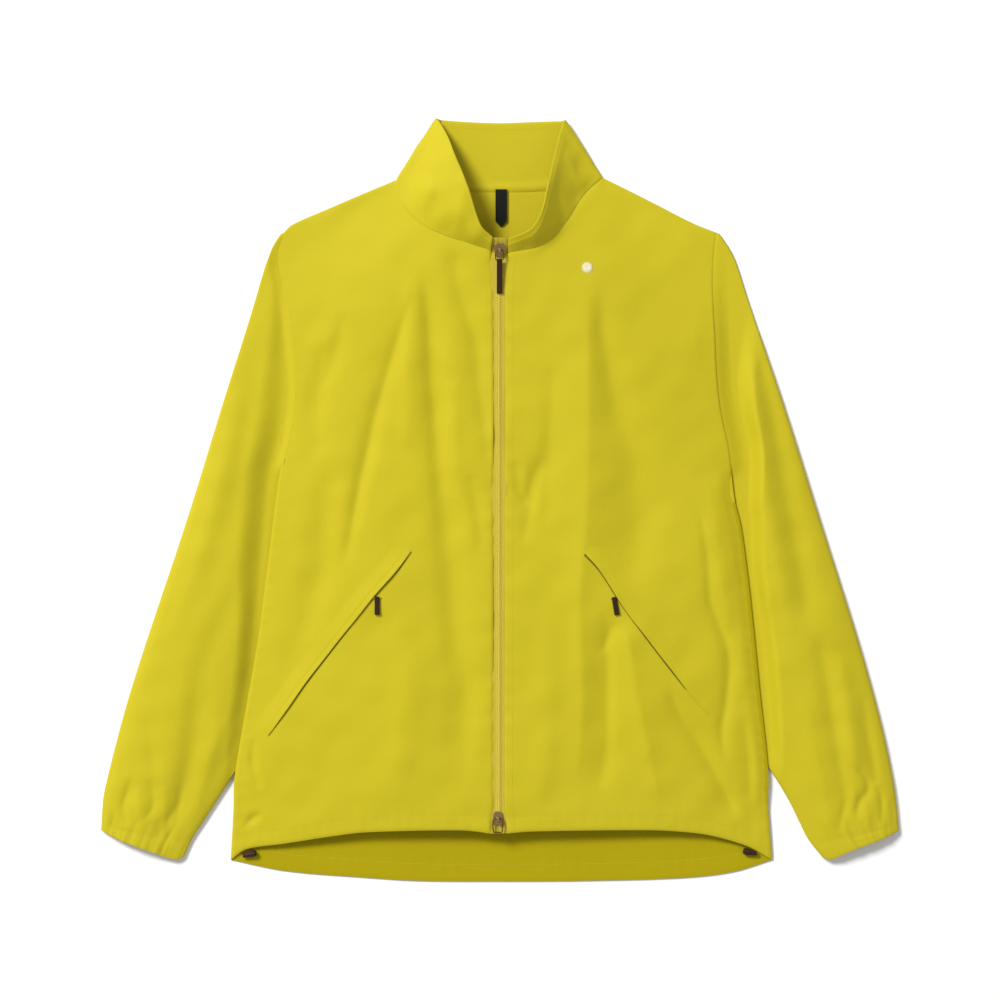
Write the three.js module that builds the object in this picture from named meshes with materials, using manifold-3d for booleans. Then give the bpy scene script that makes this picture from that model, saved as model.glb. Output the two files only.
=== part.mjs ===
// A windbreaker jacket laid flat on its back, in millimetres: X to the wearer's left, Y to the collar, Z up.
// The origin is under the middle of its outline, on the surface that it lies on.

import * as THREE from 'three';
import Module from 'manifold-3d';
import { mergeVertices } from 'three/addons/utils/BufferGeometryUtils.js';

const wasm = await Module();
wasm.setup();

// Driving dimensions of the cloth
const WALL = 1.2;
const SEAM = 0.3;
const NECK_HALF = 101;
const SHOULDER_EDGE = 2.9;
const SIDE_HIDDEN = 3.6;
const BACK_OVER_SLEEVE = SIDE_HIDDEN + SEAM;
const COLLAR_START = 0.9;
const COLLAR_BULGE = 3;
const CROWN_POWER = 2.6;
const RIM_REACH = 110;
const FOLD_MARGIN = { side: 0.16, top: 25, ends: 0.22 };
const UNDERARM_Y = 28;
const BACK_LIFT = { full: 28, ease: 40, topY: 100, topRun: 68, hemY: -340, hemRun: 60 };
const SLEEVE_COVER = { start: 8, run: 30, topY: 80, topRun: 45 };
const SLEEVE_LENS = 0.6;
const SLEEVE_LENGTH = 500;
const SLEEVE_RUN = { outer: 1.25, inner: 1.9 };
const COLLAR_FOLD = { out: 102, y: 324, z: 1.9 };

// Counts of cells in the grids
const PANEL_ROWS = 21;
const ARMHOLE_ROWS = 8;
const FRONT_COLS = 16;
const NECK_COLS = 8;
const BACK_COLS = 20;
const BACK_SHOULDER_COLS = 6;
const SLEEVE_COLS = 16;
const SLEEVE_STATIONS = 16;
const COLLAR_RISE = 5;
const BARREL_SIDES = 10;

// Driving dimensions of the zips and trims
const ZIP_X = -1.5;
const TAPE_REACH = 12.5;
const TAPE_GAP = 0.4;
const COLLAR_TAPE_DROP = 1.6;
const TAPE = 1.0;
const TAB = { width: 5.5, length: 33, thick: 2.8, eye: 0.9, knob: 0.4 };
const LINK = { width: 9.5, length: 11, bar: 1.2, hole: 9.2 };
const RING = { width: 11.5, length: 15, bar: 1.4, hole: 9.5 };
const SLIDER = { crown: 11, tail: 8, length: 14, low: 0.3, high: 3.3, bridge: 2.4, hole: 2.6, post: 1.3 };
const TOP_PULL_DROP = 6.5;
const BOTTOM_PULL_DROP = 3;
const SHOULDERS = { crown: 0.3, upper: 0.85, nose: 0.4, waist: 0.9 };
const POCKET_TAB = { width: 5, length: 17, thick: 2.2, eye: 0.8, knob: 0.3 };
const POCKET_SLIDER = { width: 7.6, post: 0.9, low: 0.3, high: 1.2, bar: 2.7 };
const WELT = { width: 14, lift: 3.1, rows: 14, ends: 0.18, bend: 1.5, probe: 4 };
const LOOP = { x: 1.2, y: 311.5, width: 11.5, length: 38, point: 6, gap: 0.6, layer: 0.9 };
const TOGGLE = { length: 14, wide: 3.4, narrow: 2 };

const SIDES = ['right', 'left'];
const signOf = { right: -1, left: 1 };

// A short table: one object for each row, with the named columns
function table(columns, rows) {
  const names = columns.split(' ');
  return rows.map((row) => Object.fromEntries(names.map((name, i) => [name, row[i]])));
}

// The body's side edge from the shoulder tip down the armhole and the side seam to the hem
const SIDE_EDGE = {
  right: table('y out', [
    [268, 217], [245, 224], [200, 215], [150, 208], [105, 206], [60, 212], [25, 221],
    [-58, 232], [-142, 243], [-211, 255], [-278, 266], [-308, 267], [-361, 270],
  ]),
  left: table('y out', [
    [268, 217], [243, 214], [210, 213], [160, 215], [120, 217], [88, 221], [50, 229],
    [0, 235], [-25, 241], [-75, 248], [-130, 254], [-190, 260], [-275, 269], [-308, 269], [-361, 273],
  ]),
};

// The sleeve's outer fold, from the shoulder tip to the cuff
const SLEEVE_OUTER = {
  right: table('y out', [
    [270, 218], [254, 228], [240, 233], [200, 245], [100, 277], [-20, 314], [-140, 354],
    [-200, 373], [-240, 384], [-280, 394], [-300, 398], [-331, 400],
  ]),
  left: table('y out', [
    [270, 218], [254, 229], [240, 236], [200, 249], [100, 283], [-20, 321], [-140, 359],
    [-200, 376], [-240, 386], [-280, 394], [-300, 397], [-331, 400],
  ]),
};

// The sleeve's inner fold, from the underarm, under the body and out again to the cuff
const SLEEVE_INNER = {
  right: table('y out', [
    [28, 221], [5, 221], [-20, 212], [-60, 192], [-120, 197], [-190, 216], [-240, 241], [-274, 266], [-300, 283],
    [-320, 296], [-340, 309], [-358, 317],
  ]),
  left: table('y out', [
    [28, 232], [5, 232], [-20, 223], [-60, 203], [-120, 206], [-190, 224], [-240, 247], [-271, 271], [-300, 289],
    [-320, 299], [-340, 309], [-358, 323],
  ]),
};

// The cuff's edge, from the outer fold to the inner one
const CUFF = {
  right: table('out y', [[400, -331], [382, -340], [350, -352], [326, -360], [317, -358]]),
  left: table('out y', [[400, -331], [381, -340], [352, -351], [331, -360], [323, -358]]),
};

// The neck seam and the collar's top edge, from centre front to the neck point
const COLLAR = {
  right: table('s seamOut seamY seamZ topOut topY topZ', [
    [0, 9, 249, 22, 7, 261, 30], [0.2, 33, 257, 21.5, 20, 275, 35], [0.4, 57, 265, 19.5, 31, 309, 38],
    [0.6, 80, 277, 15, 41, 334, 33], [0.8, 97, 297, 8, 52, 362, 21], [1, 101, 321, 3.2, 61, 379, 9],
  ]),
  left: table('s seamOut seamY seamZ topOut topY topZ', [
    [0, 8, 247, 22, 8, 260, 30], [0.2, 36, 252, 21.5, 31, 270, 36], [0.4, 54, 262, 19.5, 43, 293, 40],
    [0.6, 69, 282, 15, 50, 326, 38], [0.8, 84, 306, 8, 56, 354, 26], [1, 101, 323, 3.2, 63, 378, 10],
  ]),
};
const BACK_NECK = table('x y', [[-101, 323], [-50, 314], [0, 312], [50, 314], [101, 325]]);
const BACK_COLLAR_TOP = table('x y', [[-59, 381], [-30, 379], [0, 378], [30, 379], [61, 380]]);
const COLLAR_TIP = { right: { out: 64, y: 382.2, z: 6 }, left: { out: 66, y: 380.8, z: 6 } };

const SHOULDER = {
  right: table('out y', [[101, 323], [133, 310], [171, 294], [208, 278], [217, 270]]),
  left: table('out y', [[101, 325], [128, 312], [160, 296], [194, 279], [217, 270]]),
};

const FRONT_HEM = {
  right: table('out y', [[9, -333], [38, -330], [132, -332], [166, -336], [216, -344], [254, -350], [270, -361]]),
  left: table('out y', [[7, -333], [34, -331], [146, -330], [184, -332], [212, -336], [248, -347], [273, -361]]),
};
const BACK_HEM = table('x y', [
  [-270, -361], [-216, -372], [-132, -379], [-82, -382], [0, -382.5], [84, -382], [184, -379], [234, -373], [273, -361],
]);

// Heights of the front's top face: along the side edge, and along the middle
const EDGE_HEIGHT = table('y z', [
  [268, 2.9], [245, 5.2], [200, 7.6], [150, 8.2], [105, 8], [60, 7.2], [28, 6.8], [-60, 6.8],
  [-180, 6.8], [-275, 6.8], [-320, 4.8], [-361, 3.2],
]);
const CROWN_HEIGHT = table('y z', [[330, 22.6], [250, 22.6], [150, 22], [0, 22], [-150, 21], [-280, 19], [-361, 16]]);
const SLEEVE_CROWN = table('v z', [[0, 8], [0.2, 13.5], [0.5, 16], [0.8, 15], [1, 11.5]]);

// The largest folds, each through three places on its run, with its half width and its height
const BODY_FOLDS = table('yTop xTop yMid xMid yEnd xEnd width height', [
  [245, -74, -20, -58, -285, -44, 19, -4.5],
  [210, -80, 93, -120, -45, -148, 14, -3.2],
  [250, -50, 150, -21, 20, -10, 17, -3],
  [220, -88, 140, -90, 70, -86, 14, 2.4],
  [40, -176, -90, -184, -190, -218, 22, -3],
  [222, 94, 100, 108, -35, 129, 16, -4.2],
  [200, 92, 75, 78, -45, 64, 16, 2.8],
  [-50, 89, -190, 106, -295, 82, 18, -3.6],
  [-140, 138, -235, 164, -312, 186, 13, -3],
  [40, 190, -80, 204, -200, 224, 15, -2.6],
]);
const SLEEVE_FOLDS = {
  right: table('yTop xTop yMid xMid yEnd xEnd width height', [
    [-75, -268, -170, -301, -336, -326, 13, -3.4],
    [150, -240, 20, -262, -110, -300, 15, -2],
  ]),
  left: table('yTop xTop yMid xMid yEnd xEnd width height', [
    [205, 251, 30, 279, -135, 308, 16, -3.4],
    [-135, 321, -235, 332, -320, 344, 13, -2.8],
  ]),
};
const GATHERS = { count: 5, height: 1.1, reach: 60 };

// The slanted pocket mouths, from the upper inner end, and where their pulls are hinged
const POCKET_LINE = {
  right: table('out y', [[84, -45], [99, -66], [129, -100], [166, -147], [202, -194], [236, -242]]),
  left: table('out y', [[79, -49], [99, -70], [122, -105], [151, -144], [179, -180], [214, -222]]),
};
const POCKET_PIVOT = {
  right: { x: -122.5, y: -97.5, turn: 0 },
  left: { x: 114, y: -97.9, turn: 9.4 },
};

const clamp = (value) => Math.min(1, Math.max(0, value));
const ease = (value) => clamp(value) ** 2 * (3 - 2 * clamp(value));
const mix = (a, b, share) => a + (b - a) * share;

// A smooth value of one column at a value of another one, by cubic pieces through the rows
function reading(rows, from, to) {
  const slope = (i) => {
    const before = rows[Math.max(0, i - 1)];
    const after = rows[Math.min(rows.length - 1, i + 1)];
    return (after[to] - before[to]) / (after[from] - before[from]);
  };
  const rising = rows[1][from] > rows[0][from];
  return (value) => {
    let i = 0;
    while (i < rows.length - 2 && (rising ? rows[i + 1][from] < value : rows[i + 1][from] > value)) i += 1;
    const step = rows[i + 1][from] - rows[i][from];
    const t = clamp((value - rows[i][from]) / step);
    const [a, b] = [rows[i][to], rows[i + 1][to]];
    const [slopeA, slopeB] = [slope(i) * step, slope(i + 1) * step];
    return a * (1 + 2 * t) * (1 - t) ** 2 + slopeA * t * (1 - t) ** 2 + b * t * t * (3 - 2 * t) - slopeB * t * t * (1 - t);
  };
}

// A plan curve through the rows, read by its share of the length
function planCurve(rows, sign = 1) {
  const points = rows.map((row) => new THREE.Vector2(row.out === undefined ? row.x : sign * row.out, row.y));
  const curve = new THREE.SplineCurve(points);
  return (share) => curve.getPointAt(clamp(share));
}

const bySide = (make) => Object.fromEntries(SIDES.map((side) => [side, make(side)]));
const sideEdge = bySide((side) => reading(SIDE_EDGE[side], 'y', 'out'));
const sleeveInner = bySide((side) => reading(SLEEVE_INNER[side], 'y', 'out'));
const shoulderLine = bySide((side) => reading(SHOULDER[side], 'out', 'y'));
const seamHeight = bySide((side) => reading(COLLAR[side], 'seamOut', 'seamZ'));
const seamLine = bySide((side) => reading(COLLAR[side], 'seamOut', 'seamY'));
const edgeHeight = reading(EDGE_HEIGHT, 'y', 'z');
const crownHeight = reading(CROWN_HEIGHT, 'y', 'z');
const sleeveCrown = reading(SLEEVE_CROWN, 'v', 'z');

// Sum of the folds at a place: each is a soft bell across its run, easing out at both ends
function foldsAt(folds, x, y) {
  let sum = 0;
  for (const fold of folds) {
    const share = (fold.yTop - y) / (fold.yTop - fold.yEnd);
    if (share <= 0 || share >= 1) continue;
    const middle = (fold.yTop - fold.yMid) / (fold.yTop - fold.yEnd);
    const run = mix(fold.xTop, fold.xEnd, share);
    const bow = fold.xMid - mix(fold.xTop, fold.xEnd, middle);
    const centre = run + bow * (share * (1 - share)) / (middle * (1 - middle));
    const ends = ease(share / FOLD_MARGIN.ends) * ease((1 - share) / FOLD_MARGIN.ends);
    sum += fold.height * ends * Math.exp(-(((x - centre) / fold.width) ** 2));
  }
  return sum;
}

// Height of the fronts' top face at a place
function frontTop(side, x, y) {
  const out = Math.abs(x);
  const inNeck = out < NECK_HALF;
  const edgeShare = clamp(out / sideEdge[side](y));
  const body = mix(edgeHeight(y), crownHeight(y), 1 - edgeShare ** CROWN_POWER);
  const rim = inNeck ? seamHeight[side](out) + WALL / 2 : SHOULDER_EDGE;
  const below = (inNeck ? seamLine[side](out) : shoulderLine[side](out)) - y;
  const room = ease((1 - edgeShare) / FOLD_MARGIN.side) * ease(below / FOLD_MARGIN.top);
  return mix(rim, body, ease(below / RIM_REACH)) + foldsAt(BODY_FOLDS, x, y) * room;
}

// Height of the back's underside: flat on the surface, and over the hidden part of the sleeves
function backUnder(side, x, y) {
  const out = Math.abs(x);
  const { full, ease: run, topY, topRun, hemY, hemRun } = BACK_LIFT;
  const inward = y > UNDERARM_Y ? sideEdge[side](y) : sleeveInner[side](y);
  const across = ease((out - inward + full + run) / run);
  return BACK_OVER_SLEEVE * across * ease((topY - y) / topRun) * ease((y - hemY) / hemRun);
}

// A patch between four plan curves: the top and bottom edges, and the two sides
function patch(rows, cols, top, bottom, first, last, place) {
  const corner = { a: top(0), b: top(1), c: bottom(0), d: bottom(1) };
  return Array.from({ length: rows + 1 }, (_, i) => Array.from({ length: cols + 1 }, (_, j) => {
    const [u, v] = [j / cols, i / rows];
    const [t, b, l, r] = [top(u), bottom(u), first(v), last(v)];
    const blend = (axis) => mix(t[axis], b[axis], v) + mix(l[axis], r[axis], u)
      - mix(mix(corner.a[axis], corner.b[axis], u), mix(corner.c[axis], corner.d[axis], u), v);
    return place(blend('x'), blend('y'), u, v);
  }));
}

// A closed solid between two skins of points, with rims round it; a ring has its columns joined end to end
function wall(outer, inner, ring = false) {
  const [rows, cols] = [outer.length, outer[0].length];
  const points = [...outer.flat(), ...inner.flat()];
  const out = (i, j) => i * cols + (j % cols);
  const back = (i, j) => rows * cols + out(i, j);
  const faces = [];
  const quad = (a, b, c, d) => faces.push(a, b, c, a, c, d);
  const across = ring ? cols : cols - 1;
  const [end, side] = [rows - 1, cols - 1];
  for (let i = 0; i < end; i += 1) {
    for (let j = 0; j < across; j += 1) {
      quad(out(i, j), out(i, j + 1), out(i + 1, j + 1), out(i + 1, j));
      quad(back(i, j), back(i + 1, j), back(i + 1, j + 1), back(i, j + 1));
    }
    if (ring) continue;
    quad(out(i, 0), out(i + 1, 0), back(i + 1, 0), back(i, 0));
    quad(out(i, side), back(i, side), back(i + 1, side), out(i + 1, side));
  }
  for (let j = 0; j < across; j += 1) {
    quad(out(0, j), back(0, j), back(0, j + 1), out(0, j + 1));
    quad(out(end, j), out(end, j + 1), back(end, j + 1), back(end, j));
  }
  const geometry = new THREE.BufferGeometry();
  geometry.setAttribute('position', new THREE.Float32BufferAttribute(points.flatMap((p) => p.toArray()), 3));
  geometry.setIndex(volumeOf(points, faces) < 0 ? faces.reverse() : faces);
  return geometry;
}

function volumeOf(points, faces) {
  let sum = 0;
  for (let k = 0; k < faces.length; k += 3) {
    sum += points[faces[k]].dot(points[faces[k + 1]].clone().cross(points[faces[k + 2]]));
  }
  return sum / 6;
}

const lowered = (grid, depth) => grid.map((row) => row.map((p) => new THREE.Vector3(p.x, p.y, p.z - depth)));

const object = new THREE.Group();

function material(color, roughness, metalness = 0) {
  return new THREE.MeshStandardMaterial({ color, roughness, metalness });
}
const CLOTH = material(0xd8cb36, 0.62);
const ZIP_CLOTH = material(0xc9b668, 0.7);
const METAL = material(0x6e5032, 0.38, 0.9);
const PULL = material(0x2d1608, 0.6);
const LOOP_CLOTH = material(0x14160f, 0.8);

function add(name, geometry, finish, parent = object) {
  const mesh = new THREE.Mesh(geometry, finish);
  mesh.name = name;
  parent.add(mesh);
  return mesh;
}

// The side edge as the panels' rows divide it, read by its share of the height
function sideRow(side, share) {
  const rows = SIDE_EDGE[side];
  const y = mix(rows[0].y, rows[rows.length - 1].y, share);
  return new THREE.Vector2(signOf[side] * sideEdge[side](y), y);
}

// The neck seam in plan, by its share from centre front
const neckRow = bySide((side) => {
  const [out, y] = [reading(COLLAR[side], 's', 'seamOut'), reading(COLLAR[side], 's', 'seamY')];
  return (share) => new THREE.Vector2(signOf[side] * out(share), y(share));
});

// Two front panels
function frontGrid(side) {
  const sign = signOf[side];
  const shoulder = planCurve(SHOULDER[side], sign);
  const share = NECK_COLS / FRONT_COLS;
  const top = (u) => (u <= share ? neckRow[side](u / share) : shoulder((u - share) / (1 - share)));
  const [start, end] = [top(0), planCurve(FRONT_HEM[side], sign)(0)];
  const centre = (v) => start.clone().lerp(end, v);
  const place = (x, y) => new THREE.Vector3(x, y, frontTop(side, x, y));
  return patch(PANEL_ROWS, FRONT_COLS, top, planCurve(FRONT_HEM[side], sign), centre, (v) => sideRow(side, v), place);
}
const fronts = bySide(frontGrid);
const frontMesh = bySide((side) => add(`front_${side}`, wall(fronts[side], lowered(fronts[side], WALL)), CLOTH));

// The back panel, from shoulder to shoulder
function backTopEdge(u) {
  const share = BACK_SHOULDER_COLS / BACK_COLS;
  if (u < share) return planCurve(SHOULDER.right, -1)(1 - u / share);
  if (u > 1 - share) return planCurve(SHOULDER.left)((u - 1 + share) / share);
  return planCurve(BACK_NECK)((u - share) / (1 - 2 * share));
}
const backUnderside = patch(
  PANEL_ROWS, BACK_COLS, backTopEdge, planCurve(BACK_HEM), (v) => sideRow('right', v), (v) => sideRow('left', v),
  (x, y) => new THREE.Vector3(x, y, backUnder(x < 0 ? 'right' : 'left', x, y)),
);
add('back', wall(lowered(backUnderside, -WALL), backUnderside), CLOTH);

// Height of a sleeve's top face: a lens across the tube, thin where the body lies on it, gathered at the cuff
function sleeveTop(side, p, u, v) {
  const beyond = Math.abs(p.x) - sideEdge[side](p.y);
  const { start, run, topY, topRun } = SLEEVE_COVER;
  const covered = (1 - ease((beyond - start) / run)) * ease((topY - p.y) / topRun);
  const room = (4 * u * (1 - u)) ** SLEEVE_LENS * (1 - covered);
  const toCuff = clamp(1 - (1 - v) * SLEEVE_LENGTH / GATHERS.reach);
  const gather = GATHERS.height * ease(toCuff) * Math.cos(2 * Math.PI * GATHERS.count * u);
  const folds = foldsAt(SLEEVE_FOLDS[side], p.x, p.y) * ease(v / 0.12) * ease((1 - v) / 0.1);
  return SIDE_HIDDEN + (sleeveCrown(v) - SIDE_HIDDEN) * room + (folds + gather) * ease(room / 0.8);
}

// A sleeve is rings from the armhole to the cuff; each runs over the top and back along the underside
function sleeveRings(side) {
  const sign = signOf[side];
  const shift = sign * (SEAM + 0.1);
  const armhole = (u) => {
    const at = u * ARMHOLE_ROWS;
    const low = Math.min(Math.floor(at), ARMHOLE_ROWS - 1);
    const edge = sideRow(side, low / PANEL_ROWS).lerp(sideRow(side, (low + 1) / PANEL_ROWS), at - low);
    return edge.add(new THREE.Vector2(shift, 0));
  };
  const cuff = planCurve(CUFF[side], sign);
  const outer = planCurve(SLEEVE_OUTER[side], sign);
  const inner = planCurve(SLEEVE_INNER[side], sign);
  const outerRun = (v) => (v === 0 ? armhole(0) : outer(1 - (1 - v) ** SLEEVE_RUN.outer));
  const innerRun = (v) => (v === 0 ? armhole(1) : inner(v ** SLEEVE_RUN.inner));
  const plan = patch(
    SLEEVE_STATIONS, SLEEVE_COLS, armhole, cuff, outerRun, innerRun,
    (x, y, u, v) => ({ x, y, u, v }),
  );
  const rings = { outer: [], inner: [] };
  for (const row of plan) {
    const [first, last] = [row[0], row[SLEEVE_COLS]];
    const middle = SIDE_HIDDEN / 2;
    const inset = (from, to) => new THREE.Vector3(from.x, from.y, middle).lerp(new THREE.Vector3(to.x, to.y, middle), 0.5);
    const between = row.slice(1, SLEEVE_COLS);
    const top = between.map((p) => new THREE.Vector3(p.x, p.y, sleeveTop(side, p, p.u, p.v)));
    const under = between.map((p) => new THREE.Vector3(p.x, p.y, 0)).reverse();
    rings.outer.push([new THREE.Vector3(first.x, first.y, middle), ...top, new THREE.Vector3(last.x, last.y, middle), ...under]);
    rings.inner.push([
      inset(first, row[1]), ...lowered([top], WALL)[0], inset(last, row[SLEEVE_COLS - 1]), ...lowered([under], -WALL)[0],
    ]);
  }
  return rings;
}
for (const side of SIDES) {
  const rings = sleeveRings(side);
  add(`sleeve_${side}`, wall(rings.outer, rings.inner, true), CLOTH);
}

// The collar's stations: up one side of the neck, round the back and down the other side
function collarStations() {
  const half = (side) => {
    const read = (column) => reading(COLLAR[side], 's', column);
    const [topOut, topY, topZ, seamZ] = ['topOut', 'topY', 'topZ', 'seamZ'].map(read);
    const front = Array.from({ length: NECK_COLS + 1 }, (_, k) => {
      const s = k / NECK_COLS;
      const seam = neckRow[side](s);
      return {
        seam: new THREE.Vector3(seam.x, seam.y, seamZ(s)),
        top: new THREE.Vector3(signOf[side] * topOut(s), topY(s), topZ(s)),
        bulge: COLLAR_BULGE * Math.sin(Math.PI * clamp(0.15 + s)),
      };
    });
    const tip = COLLAR_TIP[side];
    const fold = {
      seam: new THREE.Vector3(signOf[side] * COLLAR_FOLD.out, COLLAR_FOLD.y, COLLAR_FOLD.z),
      top: new THREE.Vector3(signOf[side] * tip.out, tip.y, tip.z),
      bulge: 0,
    };
    return [...front, fold];
  };
  const cells = BACK_COLS - 2 * BACK_SHOULDER_COLS;
  const [seam, top] = [planCurve(BACK_NECK), planCurve(BACK_COLLAR_TOP)];
  const back = Array.from({ length: cells + 1 }, (_, k) => ({
    seam: new THREE.Vector3(seam(k / cells).x, seam(k / cells).y, WALL / 2),
    top: new THREE.Vector3(top(k / cells).x, top(k / cells).y, WALL / 2),
    bulge: 0,
  }));
  return [...half('right'), ...back, ...half('left').reverse()];
}

// A wall of even thickness about a middle skin, by the skin's own normals
function skins(grid, thickness) {
  const at = (i, j) => grid[Math.min(grid.length - 1, Math.max(0, i))][Math.min(grid[0].length - 1, Math.max(0, j))];
  const moved = (share) => grid.map((row, i) => row.map((p, j) => {
    const along = at(i + 1, j).clone().sub(at(i - 1, j));
    const across = at(i, j + 1).clone().sub(at(i, j - 1));
    return p.clone().addScaledVector(along.cross(across).normalize(), share * thickness);
  }));
  return [moved(0.5), moved(-0.5)];
}

const collarGrid = collarStations().map(({ seam, top, bulge }) => {
  const rise = top.clone().sub(seam);
  const start = COLLAR_START / rise.length();
  const outwards = new THREE.Vector3(-rise.y, rise.x, 0).normalize();
  if (outwards.x * seam.x < 0) outwards.negate();
  return Array.from({ length: COLLAR_RISE + 1 }, (_, k) => {
    const t = mix(start, 1, k / COLLAR_RISE);
    return seam.clone().addScaledVector(rise, t)
      .addScaledVector(outwards, bulge * 0.4 * Math.sin(Math.PI * t))
      .add(new THREE.Vector3(0, 0, bulge * Math.sin(Math.PI * t)));
  });
});
add('collar', wall(...skins(collarGrid, WALL)), CLOTH);

// A closed mesh as a solid that can be joined and cut
function solid(geometry) {
  const bare = geometry.clone();
  bare.deleteAttribute('normal');
  bare.deleteAttribute('uv');
  const merged = mergeVertices(bare, 1e-4);
  return new wasm.Manifold(new wasm.Mesh({
    numProp: 3,
    vertProperties: new Float32Array(merged.attributes.position.array),
    triVerts: new Uint32Array(merged.index.array),
  }));
}

function geometryOf(body) {
  const { vertProperties, triVerts } = body.getMesh();
  const geometry = new THREE.BufferGeometry();
  geometry.setAttribute('position', new THREE.BufferAttribute(new Float32Array(vertProperties), 3));
  geometry.setIndex(new THREE.BufferAttribute(new Uint32Array(triVerts), 1));
  return geometry;
}

const shapeOf = (pairs) => new THREE.Shape(pairs.map(([x, y]) => new THREE.Vector2(x, y)));

// A flat piece with its outline in plan, between two heights
function plate(shape, low, high, curveSegments = 4) {
  const geometry = new THREE.ExtrudeGeometry(shape, { depth: high - low, bevelEnabled: false, curveSegments });
  return geometry.translate(0, 0, low);
}

// A piece with its outline seen from the side, along Y and Z, and its width along X
function sideways(shape, width, curveSegments = 4) {
  const geometry = new THREE.ExtrudeGeometry(shape, { depth: width, bevelEnabled: false, curveSegments });
  return geometry.rotateY(Math.PI / 2).rotateX(Math.PI / 2).translate(-width / 2, 0, 0);
}

// The tape loop at the back neck: two layers joined at a pointed tip, on the inside of the back
function hangerLoop() {
  const low = WALL + SEAM;
  const high = low + 2 * LOOP.layer + LOOP.gap;
  const inside = LOOP.length - LOOP.point - 1;
  const profile = shapeOf([
    [0, low], [LOOP.length, low], [LOOP.length, high], [0, high], [0, high - LOOP.layer],
    [inside, high - LOOP.layer], [inside, low + LOOP.layer], [0, low + LOOP.layer],
  ].map(([along, z]) => [LOOP.y - along, z]));
  const half = LOOP.width / 2;
  const outline = shapeOf([
    [-half, 1], [half, 1], [half, LOOP.point - LOOP.length], [0, -LOOP.length], [-half, LOOP.point - LOOP.length],
  ]);
  const strip = solid(sideways(profile, LOOP.width + 2));
  const trim = solid(plate(outline, 0, high + 1).translate(0, LOOP.y, 0));
  return geometryOf(strip.intersect(trim)).translate(LOOP.x, 0, 0);
}
add('hanger_loop', hangerLoop(), LOOP_CLOTH);

// The zip's line in plan and height: the tape's top face, up the fronts' edge and on up the collar's
const zipLine = [
  ...[0, 0.5, 1].map((share) => {
    const { seamY, seamZ, topY, topZ } = COLLAR.right[0];
    return { y: mix(topY, seamY, share), z: mix(topZ, seamZ, share) - WALL / 2 - TAPE_GAP };
  }),
  ...fronts.right.slice(1).map((row, i) => ({
    y: row[0].y, z: Math.min(row[0].z, fronts.left[i + 1][0].z) - WALL - TAPE_GAP,
  })),
];

// How far the tape's outer edge lies lower than its middle, so that it stays under the cloth over it
function tapeDrop(side, i) {
  const collarPart = zipLine.length - PANEL_ROWS;
  if (i < collarPart) return COLLAR_TAPE_DROP;
  const [edge, next] = fronts[side][i - collarPart + 1];
  return Math.max(0, (edge.z - next.z) / Math.abs(next.x - edge.x) * TAPE_REACH);
}

// A tape is a strip under the front's edge, from near the zip's middle outwards
for (const side of SIDES) {
  const sign = signOf[side];
  const strip = zipLine.map(({ y, z }, i) => [
    new THREE.Vector3(ZIP_X + sign * SEAM / 2, y, z),
    new THREE.Vector3(ZIP_X + sign * TAPE_REACH, y, z - tapeDrop(side, i)),
  ]);
  add(`zip_tape_${side}`, wall(strip, lowered(strip, TAPE)), ZIP_CLOTH);
}

// Height of the tape's top face on the zip's line
const tapeTop = (y) => {
  const i = zipLine.findIndex((p) => p.y <= y);
  const [above, below] = [zipLine[i - 1], zipLine[i]];
  return mix(below.z, above.z, (y - below.y) / (above.y - below.y));
};

// A slider: a shield in plan with a bridge over it, wide at the crown; the bridge's hole holds the pull's bar
function zipSlider(size) {
  const [crown, tail, half] = [size.crown / 2, size.tail / 2, size.length / 2];
  const shield = shapeOf([
    [-tail, -half], [tail, -half], [crown, half * SHOULDERS.crown], [crown * SHOULDERS.waist, half * SHOULDERS.upper],
    [crown * SHOULDERS.nose, half], [-crown * SHOULDERS.nose, half],
    [-crown * SHOULDERS.waist, half * SHOULDERS.upper], [-crown, half * SHOULDERS.crown],
  ]);
  const body = solid(plate(shield, size.low, size.high));
  const [hole, reach] = [size.hole / 2, size.hole / 2 + size.post];
  const roof = size.high + size.hole;
  const arch = shapeOf([[-reach, size.high - 0.6], [-reach, roof], [-hole, roof + size.post], [hole, roof + size.post],
    [reach, roof], [reach, size.high - 0.6], [hole, size.high - 0.6], [hole, roof], [-hole, roof], [-hole, size.high - 0.6]]);
  return geometryOf(body.add(solid(sideways(arch, size.bridge))));
}

// A flat ring of square bar, from its hinge bar at the origin towards -Y
function ringPull(size) {
  const [half, bar] = [size.width / 2, size.bar];
  const outline = shapeOf([
    [-half + 1, bar / 2], [half - 1, bar / 2], [half, -1], [half, -size.length + 2 + bar / 2],
    [half - 1.5, -size.length + bar / 2], [-half + 1.5, -size.length + bar / 2], [-half, -size.length + 2 + bar / 2], [-half, -1],
  ]);
  const inside = half - bar - 0.2;
  outline.holes.push(shapeOf([[-inside, -bar / 2], [-inside, -size.hole], [inside, -size.hole], [inside, -bar / 2]]));
  return plate(outline, -bar / 2, bar / 2);
}

// A tab with a round eye at its upper end for the bar that it swings on, from the bar at the origin towards -Y
function eyeTab(size) {
  const [eye, half] = [size.eye, size.thick / 2];
  const outline = new THREE.Shape();
  outline.moveTo(0, half);
  outline.absarc(0, 0, half, Math.PI / 2, -Math.PI / 2, true);
  outline.lineTo(-size.length + 3, -half);
  outline.lineTo(-size.length + 1, -half - size.knob);
  outline.lineTo(-size.length, -half);
  outline.lineTo(-size.length, half);
  outline.lineTo(-size.length + 1, half + size.knob);
  outline.lineTo(-size.length + 3, half);
  outline.closePath();
  const hole = new THREE.Path();
  hole.absarc(0, 0, eye, 0, Math.PI * 2);
  outline.holes.push(hole);
  return sideways(outline, size.width, 8);
}

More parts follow.
